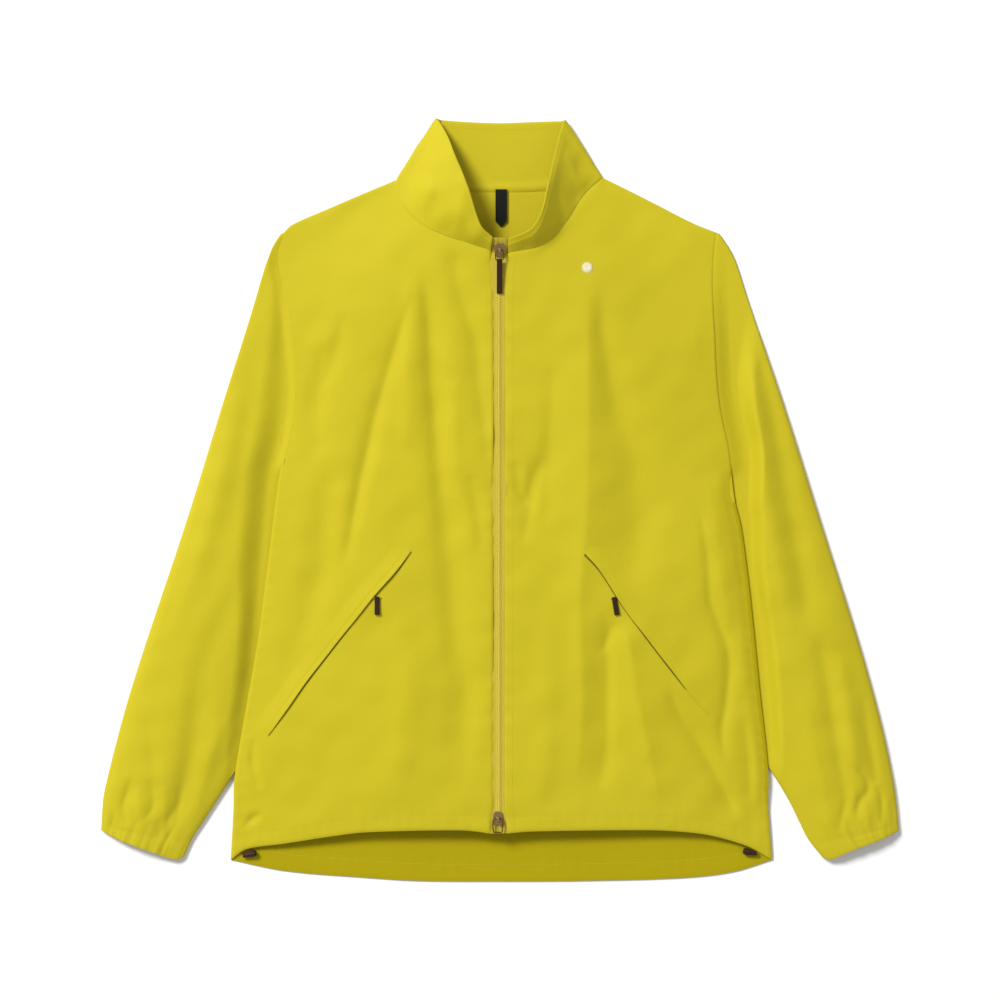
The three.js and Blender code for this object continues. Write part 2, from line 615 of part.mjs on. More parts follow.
// The main zip's sliders; the bottom one is turned to close upwards
const zipEnds = {
  top: { y: 250, clear: 1.9, tilt: 21, turn: 0 },
  bottom: { y: -318, clear: 0, tilt: 0, turn: 180 },
};
const degrees = THREE.MathUtils.degToRad;

// A group set on the tape, tilted with it
function seat(x, y, z, tilt, turn = 0) {
  const group = new THREE.Group();
  group.position.set(x, y, z);
  group.rotation.set(degrees(tilt), 0, degrees(turn));
  object.add(group);
  return group;
}

const topSeat = seat(ZIP_X + 1, zipEnds.top.y, tapeTop(zipEnds.top.y) + zipEnds.top.clear, zipEnds.top.tilt);
add('zip_slider_top', zipSlider(SLIDER), METAL, topSeat);
const bottomSeat = seat(ZIP_X - 0.7, zipEnds.bottom.y, tapeTop(zipEnds.bottom.y), zipEnds.bottom.tilt, zipEnds.bottom.turn);
add('zip_slider_bottom', zipSlider(SLIDER), METAL, bottomSeat);

// Where a slider's bar is held, in the part's frame
function barPlace(group, size) {
  object.updateMatrixWorld(true);
  return group.localToWorld(new THREE.Vector3(0, 0, size.high + size.hole / 2));
}
const topBar = barPlace(topSeat, SLIDER);
const bottomBar = barPlace(bottomSeat, SLIDER);

// The top pull hangs down the front: a link through the bridge and a cord tab on the link
const topPull = seat(topBar.x, topBar.y, topBar.z, TOP_PULL_DROP);
add('zip_link_top', ringPull(LINK), METAL, topPull);
const tab = add('zip_tab_top', eyeTab(TAB), PULL, topPull);
tab.position.y = -(LINK.length + LINK.hole - LINK.bar / 2) / 2;

// The bottom pull is one plain ring
const bottomPull = seat(bottomBar.x, bottomBar.y, bottomBar.z, BOTTOM_PULL_DROP);
add('zip_pull_bottom', ringPull(RING), METAL, bottomPull);

// Looks straight down on a front panel as built, so that what lies on it follows its facets
function panelHeight(side, x, y) {
  const ray = new THREE.Raycaster(new THREE.Vector3(x, y, 100), new THREE.Vector3(0, 0, -1));
  return ray.intersectObject(frontMesh[side], false)[0].point.z;
}

// A pocket's lip: a strip on the outer side of the mouth, lifted along its free edge, held down at both ends
function pocketWelt(side) {
  const line = planCurve(POCKET_LINE[side], signOf[side]);
  const strip = Array.from({ length: WELT.rows + 1 }, (_, i) => {
    const share = i / WELT.rows;
    const [p, ahead, behind] = [line(share), line(share + 0.02), line(share - 0.02)];
    const along = ahead.sub(behind).normalize();
    const out = new THREE.Vector2(along.y, -along.x);
    if (out.x * signOf[side] < 0) out.negate();
    const lift = WELT.lift * ease(share / WELT.ends) * ease((1 - share) / WELT.ends);
    return [0, 0.33, 0.66, 1].map((across) => {
      const q = p.clone().addScaledVector(out, across * WELT.width);
      const around = [[0, 0], [1, 0], [-1, 0], [0, 1], [0, -1]]
        .map(([dx, dy]) => panelHeight(side, q.x + dx * WELT.probe, q.y + dy * WELT.probe));
      return new THREE.Vector3(q.x, q.y, Math.max(...around) + SEAM + lift * (1 - across) ** WELT.bend + WALL);
    });
  });
  return wall(strip, lowered(strip, WALL));
}

// A pocket slider: a small plate on the panel with a staple that the pull's eye turns on
function pocketSlider(size) {
  const [half, post] = [size.width / 2, size.post];
  const base = shapeOf([[-half, -2.2], [half, -2.2], [half, 2.6], [-half, 2.6]]);
  const staple = shapeOf([
    [-half, size.high - 0.3], [-half, size.bar + post / 2], [half, size.bar + post / 2], [half, size.high - 0.3],
    [half - post, size.high - 0.3], [half - post, size.bar - post / 2], [-half + post, size.bar - post / 2],
    [-half + post, size.high - 0.3],
  ]);
  const upright = new THREE.ExtrudeGeometry(staple, { depth: post, bevelEnabled: false });
  upright.rotateX(Math.PI / 2).translate(0, post / 2, 0);
  return geometryOf(solid(plate(base, size.low, size.high)).add(solid(upright)));
}

for (const side of SIDES) {
  add(`pocket_welt_${side}`, pocketWelt(side), CLOTH);
  const pivot = POCKET_PIVOT[side];
  const corners = [[-3.5, -3], [3.5, -3], [3.5, 3], [-3.5, 3], [0, 0]];
  const height = Math.max(...corners.map(([dx, dy]) => panelHeight(side, pivot.x + dx, pivot.y + dy)));
  const group = seat(pivot.x, pivot.y, height, 0, pivot.turn);
  add(`pocket_slider_${side}`, pocketSlider(POCKET_SLIDER), PULL, group);
  const pull = add(`pocket_pull_${side}`, eyeTab(POCKET_TAB), PULL, group);
  pull.position.z = POCKET_SLIDER.bar;
}

// The hem's cord locks: tapered barrels on the inside of the back, in the corners of the open hem
const TOGGLE_SEAT = { right: { x: -251, y: -355, turn: 12 }, left: { x: 250.5, y: -353, turn: 168 } };
for (const side of SIDES) {
  const [half, wide, narrow] = [TOGGLE.length / 2, TOGGLE.wide, TOGGLE.narrow];
  const profile = shapeOf([[0, -half], [narrow, -half], [wide, half - 5], [wide, half - 1.5], [wide - 1.2, half], [0, half]]);
  const barrel = new THREE.LatheGeometry(profile.getPoints(), BARREL_SIDES);
  barrel.rotateZ(-Math.PI / 2);
  const at = TOGGLE_SEAT[side];
  const group = seat(at.x, at.y, WALL + SEAM + wide, 0, at.turn);
  add(`hem_toggle_${side}`, barrel, PULL, group);
}

export default object;
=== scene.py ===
# Windbreaker jacket laid flat on its back: the looks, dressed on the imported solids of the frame.

import math

import bpy
import numpy as np
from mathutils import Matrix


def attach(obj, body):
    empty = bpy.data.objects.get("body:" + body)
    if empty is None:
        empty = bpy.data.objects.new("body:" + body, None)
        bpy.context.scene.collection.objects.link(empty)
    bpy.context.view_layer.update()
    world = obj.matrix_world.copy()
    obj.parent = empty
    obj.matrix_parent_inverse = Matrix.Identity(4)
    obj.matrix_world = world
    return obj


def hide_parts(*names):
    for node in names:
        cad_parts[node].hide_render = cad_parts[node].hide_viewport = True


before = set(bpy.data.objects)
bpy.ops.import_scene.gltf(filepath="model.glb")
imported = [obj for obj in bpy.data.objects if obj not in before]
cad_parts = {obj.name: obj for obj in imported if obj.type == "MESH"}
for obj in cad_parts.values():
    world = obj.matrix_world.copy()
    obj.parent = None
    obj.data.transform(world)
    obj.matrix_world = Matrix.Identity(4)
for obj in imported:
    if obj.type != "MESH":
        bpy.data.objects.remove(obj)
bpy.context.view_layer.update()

MM = 0.001

# The set: a white sweep of floor, a large soft light from the upper left, a weak one opposite and an even
# sky. The camera looks straight down from 3.3 metres through a long lens.
FLOOR_SIZE = 14.0
FLOOR_LEVEL = -0.0004
VIEW_WIDTH = 1.0
CLOTH_HEIGHT = 0.012
LENS = 120.0
SENSOR = 36.0


def placed(name, data):
    """An object of the scene that has this name and data."""
    thing = bpy.data.objects.new(name, data)
    bpy.context.scene.collection.objects.link(thing)
    return thing


floor_mesh = bpy.data.meshes.new("floor")
half = FLOOR_SIZE / 2
corners = [(-half, -half), (half, -half), (half, half), (-half, half)]
floor_mesh.from_pydata([(x, y, FLOOR_LEVEL) for x, y in corners], [], [(0, 1, 2, 3)])
placed("floor", floor_mesh)

floor_finish = bpy.data.materials.new("white_sweep")
floor_finish.use_nodes = True
floor_shader = floor_finish.node_tree.nodes["Principled BSDF"]
floor_shader.inputs["Base Color"].default_value = (0.94, 0.94, 0.94, 1)
floor_shader.inputs["Roughness"].default_value = 0.9
floor_shader.inputs["Specular IOR Level"].default_value = 0.1
floor_mesh.materials.append(floor_finish)

camera_data = bpy.data.cameras.new("camera")
camera_data.lens = LENS
camera_data.sensor_width = SENSOR
camera = placed("camera", camera_data)
camera.location = (0.0, 0.0, CLOTH_HEIGHT + VIEW_WIDTH * LENS / SENSOR)
bpy.context.scene.camera = camera


def soft_light(name, place, size, power):
    """A square area light of the given size, turned to look at the middle of the floor."""
    data = bpy.data.lights.new(name, "AREA")
    data.size = size
    data.energy = power
    light = placed(name, data)
    light.location = place
    x, y, z = place
    light.rotation_euler = (math.atan2(math.hypot(x, y), z), 0, math.atan2(x, -y))


soft_light("key_light", (-5.4, 5.3, 7.1), 3.0, 1150)
soft_light("fill_light", (5.5, -4.0, 6.5), 4.0, 60)
sky = bpy.data.worlds.new("sky")
sky.use_nodes = True
sky.node_tree.nodes["Background"].inputs["Color"].default_value = (1, 1, 1, 1)
sky.node_tree.nodes["Background"].inputs["Strength"].default_value = 0.42
bpy.context.scene.world = sky
bpy.context.scene.view_settings.view_transform = "Standard"


# The front panels: light plain-weave nylon, cut in two halves, sewn to the back at the shoulders and
# sides and to the zip tapes at the centre. They lie loosely over the back, so long folds fall from the
# shoulders and the chest.
WALL = 1.2
SHELL = 0.7
SHOULDER_EDGE = 2.9
CROWN_POWER = 2.6
RIM_REACH = 110
FOLD_MARGIN = {"side": 0.08, "top": 25}
ZIP_TOP, ZIP_FOOT = 243, -329
ZIP_DRAW = 2.2
HEM_CASING = 16
SIGN = {"right": -1, "left": 1}


def table(columns, rows):
    """A short table as a dictionary that holds one array for each named column."""
    return dict(zip(columns.split(), np.array(rows, float).T))


SIDE_EDGE = {
    "right": table("y out", [
        (268, 217), (245, 224), (200, 215), (150, 208), (105, 206), (60, 212), (25, 221), (-58, 232),
        (-142, 243), (-211, 255), (-278, 266), (-308, 267), (-361, 270)]),
    "left": table("y out", [
        (268, 217), (243, 214), (210, 213), (160, 215), (120, 217), (88, 221), (50, 229), (0, 235),
        (-25, 241), (-75, 248), (-130, 254), (-190, 260), (-275, 269), (-308, 269), (-361, 273)]),
}
SHOULDER = {
    "right": table("out y", [(101, 323), (133, 310), (171, 294), (208, 278), (217, 270)]),
    "left": table("out y", [(101, 325), (128, 312), (160, 296), (194, 279), (217, 270)]),
}
COLLAR = {
    "right": table("s seam_out seam_y seam_z top_out top_y top_z", [
        (0, 9, 249, 22, 7, 261, 30), (0.2, 33, 257, 21.5, 20, 275, 35), (0.4, 57, 265, 19.5, 31, 309, 38),
        (0.6, 80, 277, 15, 41, 334, 33), (0.8, 97, 297, 8, 52, 362, 21),
        (1, 101, 321, 3.2, 61, 379, 9)]),
    "left": table("s seam_out seam_y seam_z top_out top_y top_z", [
        (0, 8, 247, 22, 8, 260, 30), (0.2, 36, 252, 21.5, 31, 270, 36), (0.4, 54, 262, 19.5, 43, 293, 39),
        (0.6, 69, 282, 15, 50, 326, 31), (0.8, 84, 306, 8, 56, 354, 19),
        (1, 101, 323, 3.2, 63, 378, 10)]),
}
FRONT_HEM = {
    "right": table("out y", [
        (9, -333), (38, -330), (132, -332), (166, -336), (216, -344), (254, -350), (270, -361)]),
    "left": table("out y", [
        (7, -333), (34, -331), (146, -330), (184, -332), (212, -336), (248, -347), (273, -361)]),
}
EDGE_HEIGHT = table("y z", [
    (268, 2.9), (245, 5.2), (200, 7.6), (150, 8.2), (105, 8), (60, 7.2), (28, 6.8), (-60, 6.8),
    (-180, 6.8), (-275, 6.8), (-320, 4.8), (-361, 3.2)])
CROWN_HEIGHT = table("y z", [
    (330, 22.6), (250, 22.6), (150, 22), (0, 22), (-150, 21), (-280, 19), (-361, 16)])


def reading(rows, source, target):
    """Reads one column at values of another: a cubic piece between rows, its slopes from the rows beside."""
    xs, ys = rows[source], rows[target]
    if xs[0] > xs[-1]:
        xs, ys = xs[::-1], ys[::-1]
    spread = np.concatenate([[xs[1] - xs[0]], xs[2:] - xs[:-2], [xs[-1] - xs[-2]]])
    slopes = np.concatenate([[ys[1] - ys[0]], ys[2:] - ys[:-2], [ys[-1] - ys[-2]]]) / spread

    def at(value):
        value = np.clip(value, xs[0], xs[-1])
        i = np.clip(np.searchsorted(xs, value, "right") - 1, 0, len(xs) - 2)
        step = xs[i + 1] - xs[i]
        t = (value - xs[i]) / step
        return (
            ys[i] * (1 + 2 * t) * (1 - t) ** 2 + slopes[i] * step * t * (1 - t) ** 2
            + ys[i + 1] * t * t * (3 - 2 * t) - slopes[i + 1] * step * t * t * (1 - t)
        )

    return at


def ease(share):
    """The smooth step: 3 s squared less 2 s cubed, with s held between 0 and 1."""
    share = np.clip(share, 0, 1)
    return share * share * (3 - 2 * share)


def mix(a, b, share):
    """From a to b by the share."""
    return a + (b - a) * share


def bell(distance, width, place=0.0):
    """A bell round a place: e to the minus ((distance less place) over width) squared."""
    return np.exp(-((distance - place) / width) ** 2)


def wavering(run, pitch, drift, drift_length):
    """Waves of a drifting pitch: the cosine of (2 pi run / pitch + drift sin(run / drift length))."""
    return np.cos(2 * np.pi * run / pitch + drift * np.sin(run / drift_length))


def lengths_along(points):
    """The length of a run of points from its first point to each of them."""
    return np.concatenate([[0], np.cumsum(np.linalg.norm(np.diff(points, axis=0), axis=1))])


def unit(vectors):
    """Vectors divided by their own lengths."""
    return vectors / np.maximum(np.linalg.norm(vectors, axis=-1, keepdims=True), 1e-9)


def run_through(points, count):
    """A smooth curve through points, at evenly spaced places: cubic pieces by chord length."""
    points = np.array(points, float)
    chord = lengths_along(points)
    fine = np.linspace(0, chord[-1], 40 * len(points))
    rows = {"s": chord, **{str(k): points[:, k] for k in range(points.shape[1])}}
    dense = np.stack([reading(rows, "s", str(k))(fine) for k in range(points.shape[1])], axis=1)
    length = lengths_along(dense)
    even = np.linspace(0, length[-1], count)
    return np.stack([np.interp(even, length, dense[:, k]) for k in range(points.shape[1])], axis=1)


def plan_curve(rows, sign=1):
    """The function that gives the plan curve through a table's rows at shares of its length."""
    across = sign * rows["out"] if "out" in rows else rows["x"]
    dense = run_through(np.stack([across, rows["y"]], axis=1), 600)
    shares = np.linspace(0, 1, 600)
    return lambda share: np.stack([np.interp(share, shares, dense[:, k]) for k in (0, 1)], axis=-1)


def patch(top, bottom, first, last, rows, cols):
    """A plan grid between four edge curves: the two ruled blends added, less the blend of the corners."""
    v, u = np.meshgrid(rows, cols, indexing="ij")
    t, b, l, r = top(u), bottom(u), first(v), last(v)
    u, v = u[..., None], v[..., None]
    corners = mix(mix(top(0.0), top(1.0), u), mix(bottom(0.0), bottom(1.0), u), v)
    return mix(t, b, v) + mix(l, r, u) - corners


def relief(x, y, folds):
    """Sum of the folds. A fold runs through its rows of x, y, half widths on its left and right, and height.
    Across the run it is e to the minus (distance over half width) to the power, and it ends at height 0."""
    total = np.zeros_like(x)
    for power, rows in folds:
        rows = np.array(rows, float)
        run = run_through(rows[:, :2], 96)
        chord = lengths_along(rows[:, :2])
        reach = 3.2 * rows[:, 2:4].max()
        near = (
            (x > run[:, 0].min() - reach) & (x < run[:, 0].max() + reach)
            & (y > run[:, 1].min() - reach) & (y < run[:, 1].max() + reach)
        )
        dx = x[near][:, None] - run[None, :, 0]
        dy = y[near][:, None] - run[None, :, 1]
        nearest = np.argmin(dx * dx + dy * dy, axis=1)
        pick = np.arange(len(nearest))
        dx, dy = dx[pick, nearest], dy[pick, nearest]
        heading = unit(np.gradient(run, axis=0))
        along = dx * heading[nearest, 0] + dy * heading[nearest, 1]
        side = dx * heading[nearest, 1] - dy * heading[nearest, 0]
        step = chord[-1] / (len(run) - 1)
        share = np.clip(nearest * step + along, 0, chord[-1])
        left, right, height = [np.interp(share, chord, rows[:, k]) for k in (2, 3, 4)]
        ends = ease(share / (0.12 * chord[-1])) * ease((chord[-1] - share) / (0.12 * chord[-1]))
        width = mix(right, left, ease(side / (left + right) + 0.5))
        total[near] += height * ends * np.exp(-(np.abs(side) / width) ** power)
    return total


def edge_distances(grid):
    """Distances along a grid to its four edges: first and last column, first and last row."""
    across = np.linalg.norm(np.diff(grid, axis=1), axis=2)
    down = np.linalg.norm(np.diff(grid, axis=0), axis=2)
    across = np.concatenate([np.zeros((len(grid), 1)), np.cumsum(across, axis=1)], axis=1)
    down = np.concatenate([np.zeros((1, grid.shape[1])), np.cumsum(down, axis=0)], axis=0)
    return across, across[:, -1:] - across, down, down[-1:] - down


def unit_noise(x, y, seed, scales):
    """Smooth uneven waves: eight cosines at random headings and phases for each wavelength, averaged."""
    draw = np.random.default_rng(seed)
    total = np.zeros_like(x)
    for wavelength, weight in scales:
        for _ in range(8):
            turn, phase = draw.uniform(0, np.pi), draw.uniform(0, 2 * np.pi)
            stretch = draw.uniform(0.75, 1.35)
            along = (x * np.cos(turn) + y * np.sin(turn)) / (wavelength * stretch)
            total += weight / 8 ** 0.5 * np.cos(2 * np.pi * along + phase)
    return total


def surface(name, grid, ring=False):
    """A mesh of quads over a grid of points in millimetres, with a UV map of arc lengths in metres."""
    rows, cols = grid.shape[:2]
    index = np.arange(rows * cols).reshape(rows, cols)
    after = np.roll(index, -1, axis=1) if ring else index[:, 1:]
    here = index if ring else index[:, :-1]
    quads = np.stack([here[:-1], after[:-1], after[1:], here[1:]], axis=-1).reshape(-1, 4)
    mesh = bpy.data.meshes.new(name)
    mesh.vertices.add(rows * cols)
    mesh.vertices.foreach_set("co", (grid * MM).astype(np.float32).ravel())
    mesh.loops.add(quads.size)
    mesh.loops.foreach_set("vertex_index", quads.ravel().astype(np.int32))
    mesh.polygons.add(len(quads))
    mesh.polygons.foreach_set("loop_start", np.arange(0, quads.size, 4, dtype=np.int32))
    mesh.polygons.foreach_set("use_smooth", np.ones(len(quads), bool))
    across, _, down, _ = edge_distances(grid)
    u, v = across.mean(axis=0)[None, :].repeat(rows, 0), down.mean(axis=1)[:, None].repeat(cols, 1)
    uv = np.stack([u, v], axis=-1).reshape(-1, 2) * MM
    mesh.uv_layers.new(name="cloth").data.foreach_set("uv", uv[quads.ravel()].astype(np.float32).ravel())
    mesh.update(calc_edges=True)
    mesh.validate()
    return placed(name, mesh)


def thicken(piece, thickness, offset=-1.0, even=True):
    """Gives a surface its wall with Solidify; offset -1 keeps the surface as the outer face."""
    wall = piece.modifiers.new("wall", "SOLIDIFY")
    wall.thickness = thickness * MM
    wall.offset = offset
    wall.use_even_offset = even
    # The wide faces set the shading up to the cut edge, as cloth shows no rounding there
    piece.modifiers.new("even_normals", "WEIGHTED_NORMAL").weight = 100
    return piece


def new_group(name, inputs, outputs):
    """An empty shader node group with named float or vector inputs and outputs."""
    kinds = {"value": "NodeSocketFloat", "vector": "NodeSocketVector", "colour": "NodeSocketColor"}
    group = bpy.data.node_groups.new(name, "ShaderNodeTree")
    for way, sockets in (("INPUT", inputs), ("OUTPUT", outputs)):
        for label, kind, default in sockets:
            socket = group.interface.new_socket(label, in_out=way, socket_type=kinds[kind])
            if default is not None:
                socket.default_value = default
    return group, group.nodes.new("NodeGroupInput"), group.nodes.new("NodeGroupOutput")


def maths(tree, operation, a, b=None):
    """One math node; each side is a socket or a number."""
    node = tree.nodes.new("ShaderNodeMath")
    node.operation = operation
    for socket, value in zip(node.inputs, (a, b)):
        if isinstance(value, (int, float)):
            socket.default_value = value
        elif value is not None:
            tree.links.new(value, socket)
    return node.outputs[0]


# Plain weave: two crossed sets of rounded threads, the upper one changing like a chequerboard.
weave, weave_in, weave_out = new_group(
    "plain_weave", [("Threads", "vector", None), ("Pitch", "value", 2000.0)], [("Height", "value", None)])
split = weave.nodes.new("ShaderNodeSeparateXYZ")
weave.links.new(weave_in.outputs["Threads"], split.inputs[0])
turns = [maths(weave, "MULTIPLY", split.outputs[k], weave_in.outputs["Pitch"]) for k in (0, 1)]
waves = [maths(weave, "ABSOLUTE", maths(weave, "SINE", maths(weave, "MULTIPLY", t, math.pi))) for t in turns]
cells = maths(weave, "ADD", maths(weave, "FLOOR", turns[0]), maths(weave, "FLOOR", turns[1]))
over = maths(weave, "FLOORED_MODULO", cells, 2.0)
warp = maths(weave, "MULTIPLY", waves[0], over)
weft = maths(weave, "MULTIPLY", waves[1], maths(weave, "SUBTRACT", 1.0, over))
weave.links.new(maths(weave, "ADD", warp, weft), weave_out.inputs["Height"])

# Crinkle: the fine handling marks of thin nylon, as two sizes of soft noise, and a slow drift of the
# dye.
crinkle, crinkle_in, crinkle_out = new_group(
    "crinkle", [("Place", "vector", None), ("Size", "value", 90.0)],
    [("Height", "value", None), ("Drift", "value", None)])
for label, times, detail, roughness in (("Height", 1.0, 5.0, 0.55), ("Drift", 0.12, 2.0, 0.5)):
    noise = crinkle.nodes.new("ShaderNodeTexNoise")
    noise.inputs["Detail"].default_value = detail
    noise.inputs["Roughness"].default_value = roughness
    crinkle.links.new(crinkle_in.outputs["Place"], noise.inputs["Vector"])
    crinkle.links.new(maths(crinkle, "MULTIPLY", crinkle_in.outputs["Size"], times), noise.inputs["Scale"])
    crinkle.links.new(noise.outputs["Fac"], crinkle_out.inputs[label])


def place_group(tree, group, **values):
    """A node of a group in a material, with its number inputs set."""
    node = tree.nodes.new("ShaderNodeGroup")
    node.node_tree = group
    for label, value in values.items():
        node.inputs[label].default_value = value
    return node


def cloth_material(name, light, dark, roughness, sheen, pitch, weave_depth, crinkle_size, crinkle_depth):
    """Woven cloth: dye between two tones by slow noise, threads by the UV map, crinkle by the object."""
    finish = bpy.data.materials.new(name)
    finish.use_nodes = True
    tree = finish.node_tree
    shader = tree.nodes["Principled BSDF"]
    shader.inputs["Roughness"].default_value = roughness
    shader.inputs["Sheen Weight"].default_value = sheen
    shader.inputs["Sheen Roughness"].default_value = 0.4
    shader.inputs["Specular IOR Level"].default_value = 0.1
    uv = tree.nodes.new("ShaderNodeUVMap")
    uv.uv_map = "cloth"
    spot = tree.nodes.new("ShaderNodeTexCoord")
    threads = place_group(tree, weave, Pitch=pitch)
    tree.links.new(uv.outputs["UV"], threads.inputs["Threads"])
    marks = place_group(tree, crinkle, Size=crinkle_size)
    tree.links.new(spot.outputs["Object"], marks.inputs["Place"])
    tones = tree.nodes.new("ShaderNodeMix")
    tones.data_type = "RGBA"
    tones.inputs["A"].default_value = (*dark, 1)
    tones.inputs["B"].default_value = (*light, 1)
    drift = maths(tree, "ADD", maths(tree, "MULTIPLY", marks.outputs["Drift"], 0.7),
                  maths(tree, "MULTIPLY", threads.outputs["Height"], 0.3))
    tree.links.new(drift, tones.inputs["Factor"])
    tree.links.new(tones.outputs["Result"], shader.inputs["Base Color"])
    relief_height = maths(tree, "ADD", maths(tree, "MULTIPLY", threads.outputs["Height"], weave_depth),
                          maths(tree, "MULTIPLY", marks.outputs["Height"], crinkle_depth))
    bump = tree.nodes.new("ShaderNodeBump")
    bump.inputs["Distance"].default_value = MM
    tree.links.new(relief_height, bump.inputs["Height"])
    tree.links.new(bump.outputs["Normal"], shader.inputs["Normal"])
    return finish


nylon = cloth_material(
    "chartreuse_nylon", light=(0.56, 0.472, 0.017), dark=(0.52, 0.433, 0.012), roughness=0.6, sheen=0.03,
    pitch=2200.0, weave_depth=0.04, crinkle_size=70.0, crinkle_depth=0.35)

side_edge = {side: reading(SIDE_EDGE[side], "y", "out") for side in SIGN}
shoulder_line = {side: reading(SHOULDER[side], "out", "y") for side in SIGN}
seam_height = {side: reading(COLLAR[side], "seam_out", "seam_z") for side in SIGN}
seam_line = {side: reading(COLLAR[side], "seam_out", "seam_y") for side in SIGN}
edge_height = reading(EDGE_HEIGHT, "y", "z")
crown_height = reading(CROWN_HEIGHT, "y", "z")

# The folds that show on the fronts: a power for the sharpness, then rows of x, y, half widths and height
BODY_FOLDS = [
    (2.0, [(-78, 250, 6, 8, -1.3), (-70, 180, 8, 11, -3.2), (-65, 100, 10, 13, -4.8),
           (-58, 20, 12, 14, -5), (-51, -45, 14, 15, -4.8), (-45, -120, 14, 16, -4.4),
           (-36, -190, 18, 14, -4), (-38, -250, 18, 12, -2.8), (-45, -300, 12, 10, -1)]),
    (1.6, [(-84, 215, 5, 6, -1), (-105, 150, 7, 8, -2.6), (-122, 93, 9, 8, -4), (-132, 50, 9, 8, -4.6),
           (-143, 0, 8, 8, -4.4), (-152, -50, 7, 7, -2.4), (-158, -75, 6, 6, -1)]),
    (1.8, [(-50, 265, 8, 8, -1.2), (-38, 205, 10, 12, -3), (-24, 160, 11, 12, -3.8),
           (-20, 115, 11, 11, -3.4), (-14, 70, 9, 9, -2.6), (-12, 20, 8, 8, -1)]),
    (2.0, [(-88, 225, 8, 10, 1.2), (-90, 160, 9, 12, 2.4), (-91, 105, 10, 12, 2.4),
           (-93, 45, 10, 11, 1.2)]),
    (2.0, [(-46, 125, 9, 9, 1), (-48, 80, 10, 10, 2), (-47, 35, 10, 10, 1.6), (-44, -10, 9, 9, 0.8)]),
    (2.0, [(-172, 42, 14, 12, -1.2), (-176, -30, 16, 14, -3.8), (-180, -80, 16, 14, -3.4),
           (-196, -130, 14, 14, -2.4), (-220, -190, 12, 12, -1)]),
    (1.8, [(-178, 160, 9, 8, -0.8), (-182, 110, 13, 10, -2.8), (-184, 75, 12, 9, -2),
           (-180, 40, 8, 8, -0.6)]),
    (1.3, [(88, 220, 10, 7, 0.8), (88, 150, 18, 12, 2.8), (88, 100, 22, 16, 3.8), (88, 50, 24, 22, 4.4),
           (87, 0, 22, 24, 4.4), (84, -45, 17, 20, 3.6), (80, -90, 15, 16, 3.4), (80, -140, 15, 14, 3),
           (82, -200, 15, 13, 2.8), (78, -260, 13, 12, 2), (74, -300, 11, 10, 0.8)]),
    (1.8, [(99, 222, 7, 8, -1), (106, 150, 11, 14, -3), (116, 100, 15, 18, -4), (130, 50, 22, 24, -4.2),
           (137, 0, 24, 24, -4.4), (134, -50, 22, 22, -4), (128, -95, 14, 16, -1.6)]),
    (1.8, [(54, 140, 8, 10, -0.8), (51, 90, 9, 11, -1.8), (48, 30, 9, 11, -2), (47, -30, 8, 10, -0.8)]),
    (1.6, [(104, -105, 11, 8, -1), (107, -150, 14, 8, -3.6), (107, -200, 14, 8, -3.8),
           (106, -250, 14, 9, -3), (98, -298, 10, 9, -1)]),
    (1.3, [(124, -118, 8, 8, 0.8), (130, -150, 10, 16, 3.2), (138, -200, 12, 22, 4),
           (148, -250, 13, 16, 3.4), (159, -302, 9, 9, 1)]),
    (1.4, [(166, -182, 5, 5, -0.8), (180, -215, 8, 6, -2.8), (203, -250, 9, 6, -4.2),
           (228, -298, 9, 6, -4), (240, -322, 6, 5, -0.8)]),
    (1.4, [(198, -2, 4, 5, -1), (208, -60, 5, 6, -2.2), (211, -100, 6, 6, -3), (229, -155, 7, 6, -3.6),
           (227, -200, 6, 6, -3.4), (222, -231, 5, 5, -2.6), (227, -270, 4, 4, -0.8)]),
    (1.5, [(206, 30, 14, 12, 0.8), (218, -40, 18, 16, 2.6), (223, -85, 16, 14, 2.4),
           (232, -140, 10, 10, 0.8)]),
    (1.6, [(244, -215, 7, 6, -1), (250, -265, 9, 6, -2.8), (250, -305, 7, 6, -1)]),
    (1.6, [(14, 42, 4, 5, -0.8), (24, 0, 7, 6, -2.8), (33, 22, 6, 8, -2.2), (42, 46, 6, 6, -0.8)]),
    (1.6, [(44, 40, 6, 6, -0.8), (32, 0, 7, 6, -2.2), (22, -46, 6, 6, -0.8)]),
    (1.6, [(115, -122, 4, 5, -1), (108, -138, 5, 6, -1.8), (102, -152, 4, 4, -0.8)]),
    (1.8, [(-30, 28, 5, 5, -0.8), (-23, -10, 7, 7, -2), (-18, -52, 5, 5, -0.8)]),
    (1.8, [(-155, 190, 7, 7, -0.8), (-164, 150, 9, 9, -2.2), (-178, 108, 7, 7, -0.8)]),
    (2.0, [(47, -110, 10, 10, 0.8), (49, -190, 16, 14, 1.8), (44, -260, 14, 12, 1.4),
           (37, -315, 10, 10, 0.8)]),
    (2.0, [(-102, -110, 12, 12, 0.8), (-91, -180, 18, 18, 2.4), (-97, -250, 16, 16, 2),
           (-104, -310, 12, 12, 0.8)]),
    (1.5, [(-246, -236, 3, 3, -0.8), (-248, -262, 4, 4, -3), (-240, -290, 3, 3, -0.8)]),
    (1.5, [(-258, -329, 3, 3, -0.8), (-249, -320, 4, 4, -3), (-238, -314, 3, 3, -0.8)]),
]


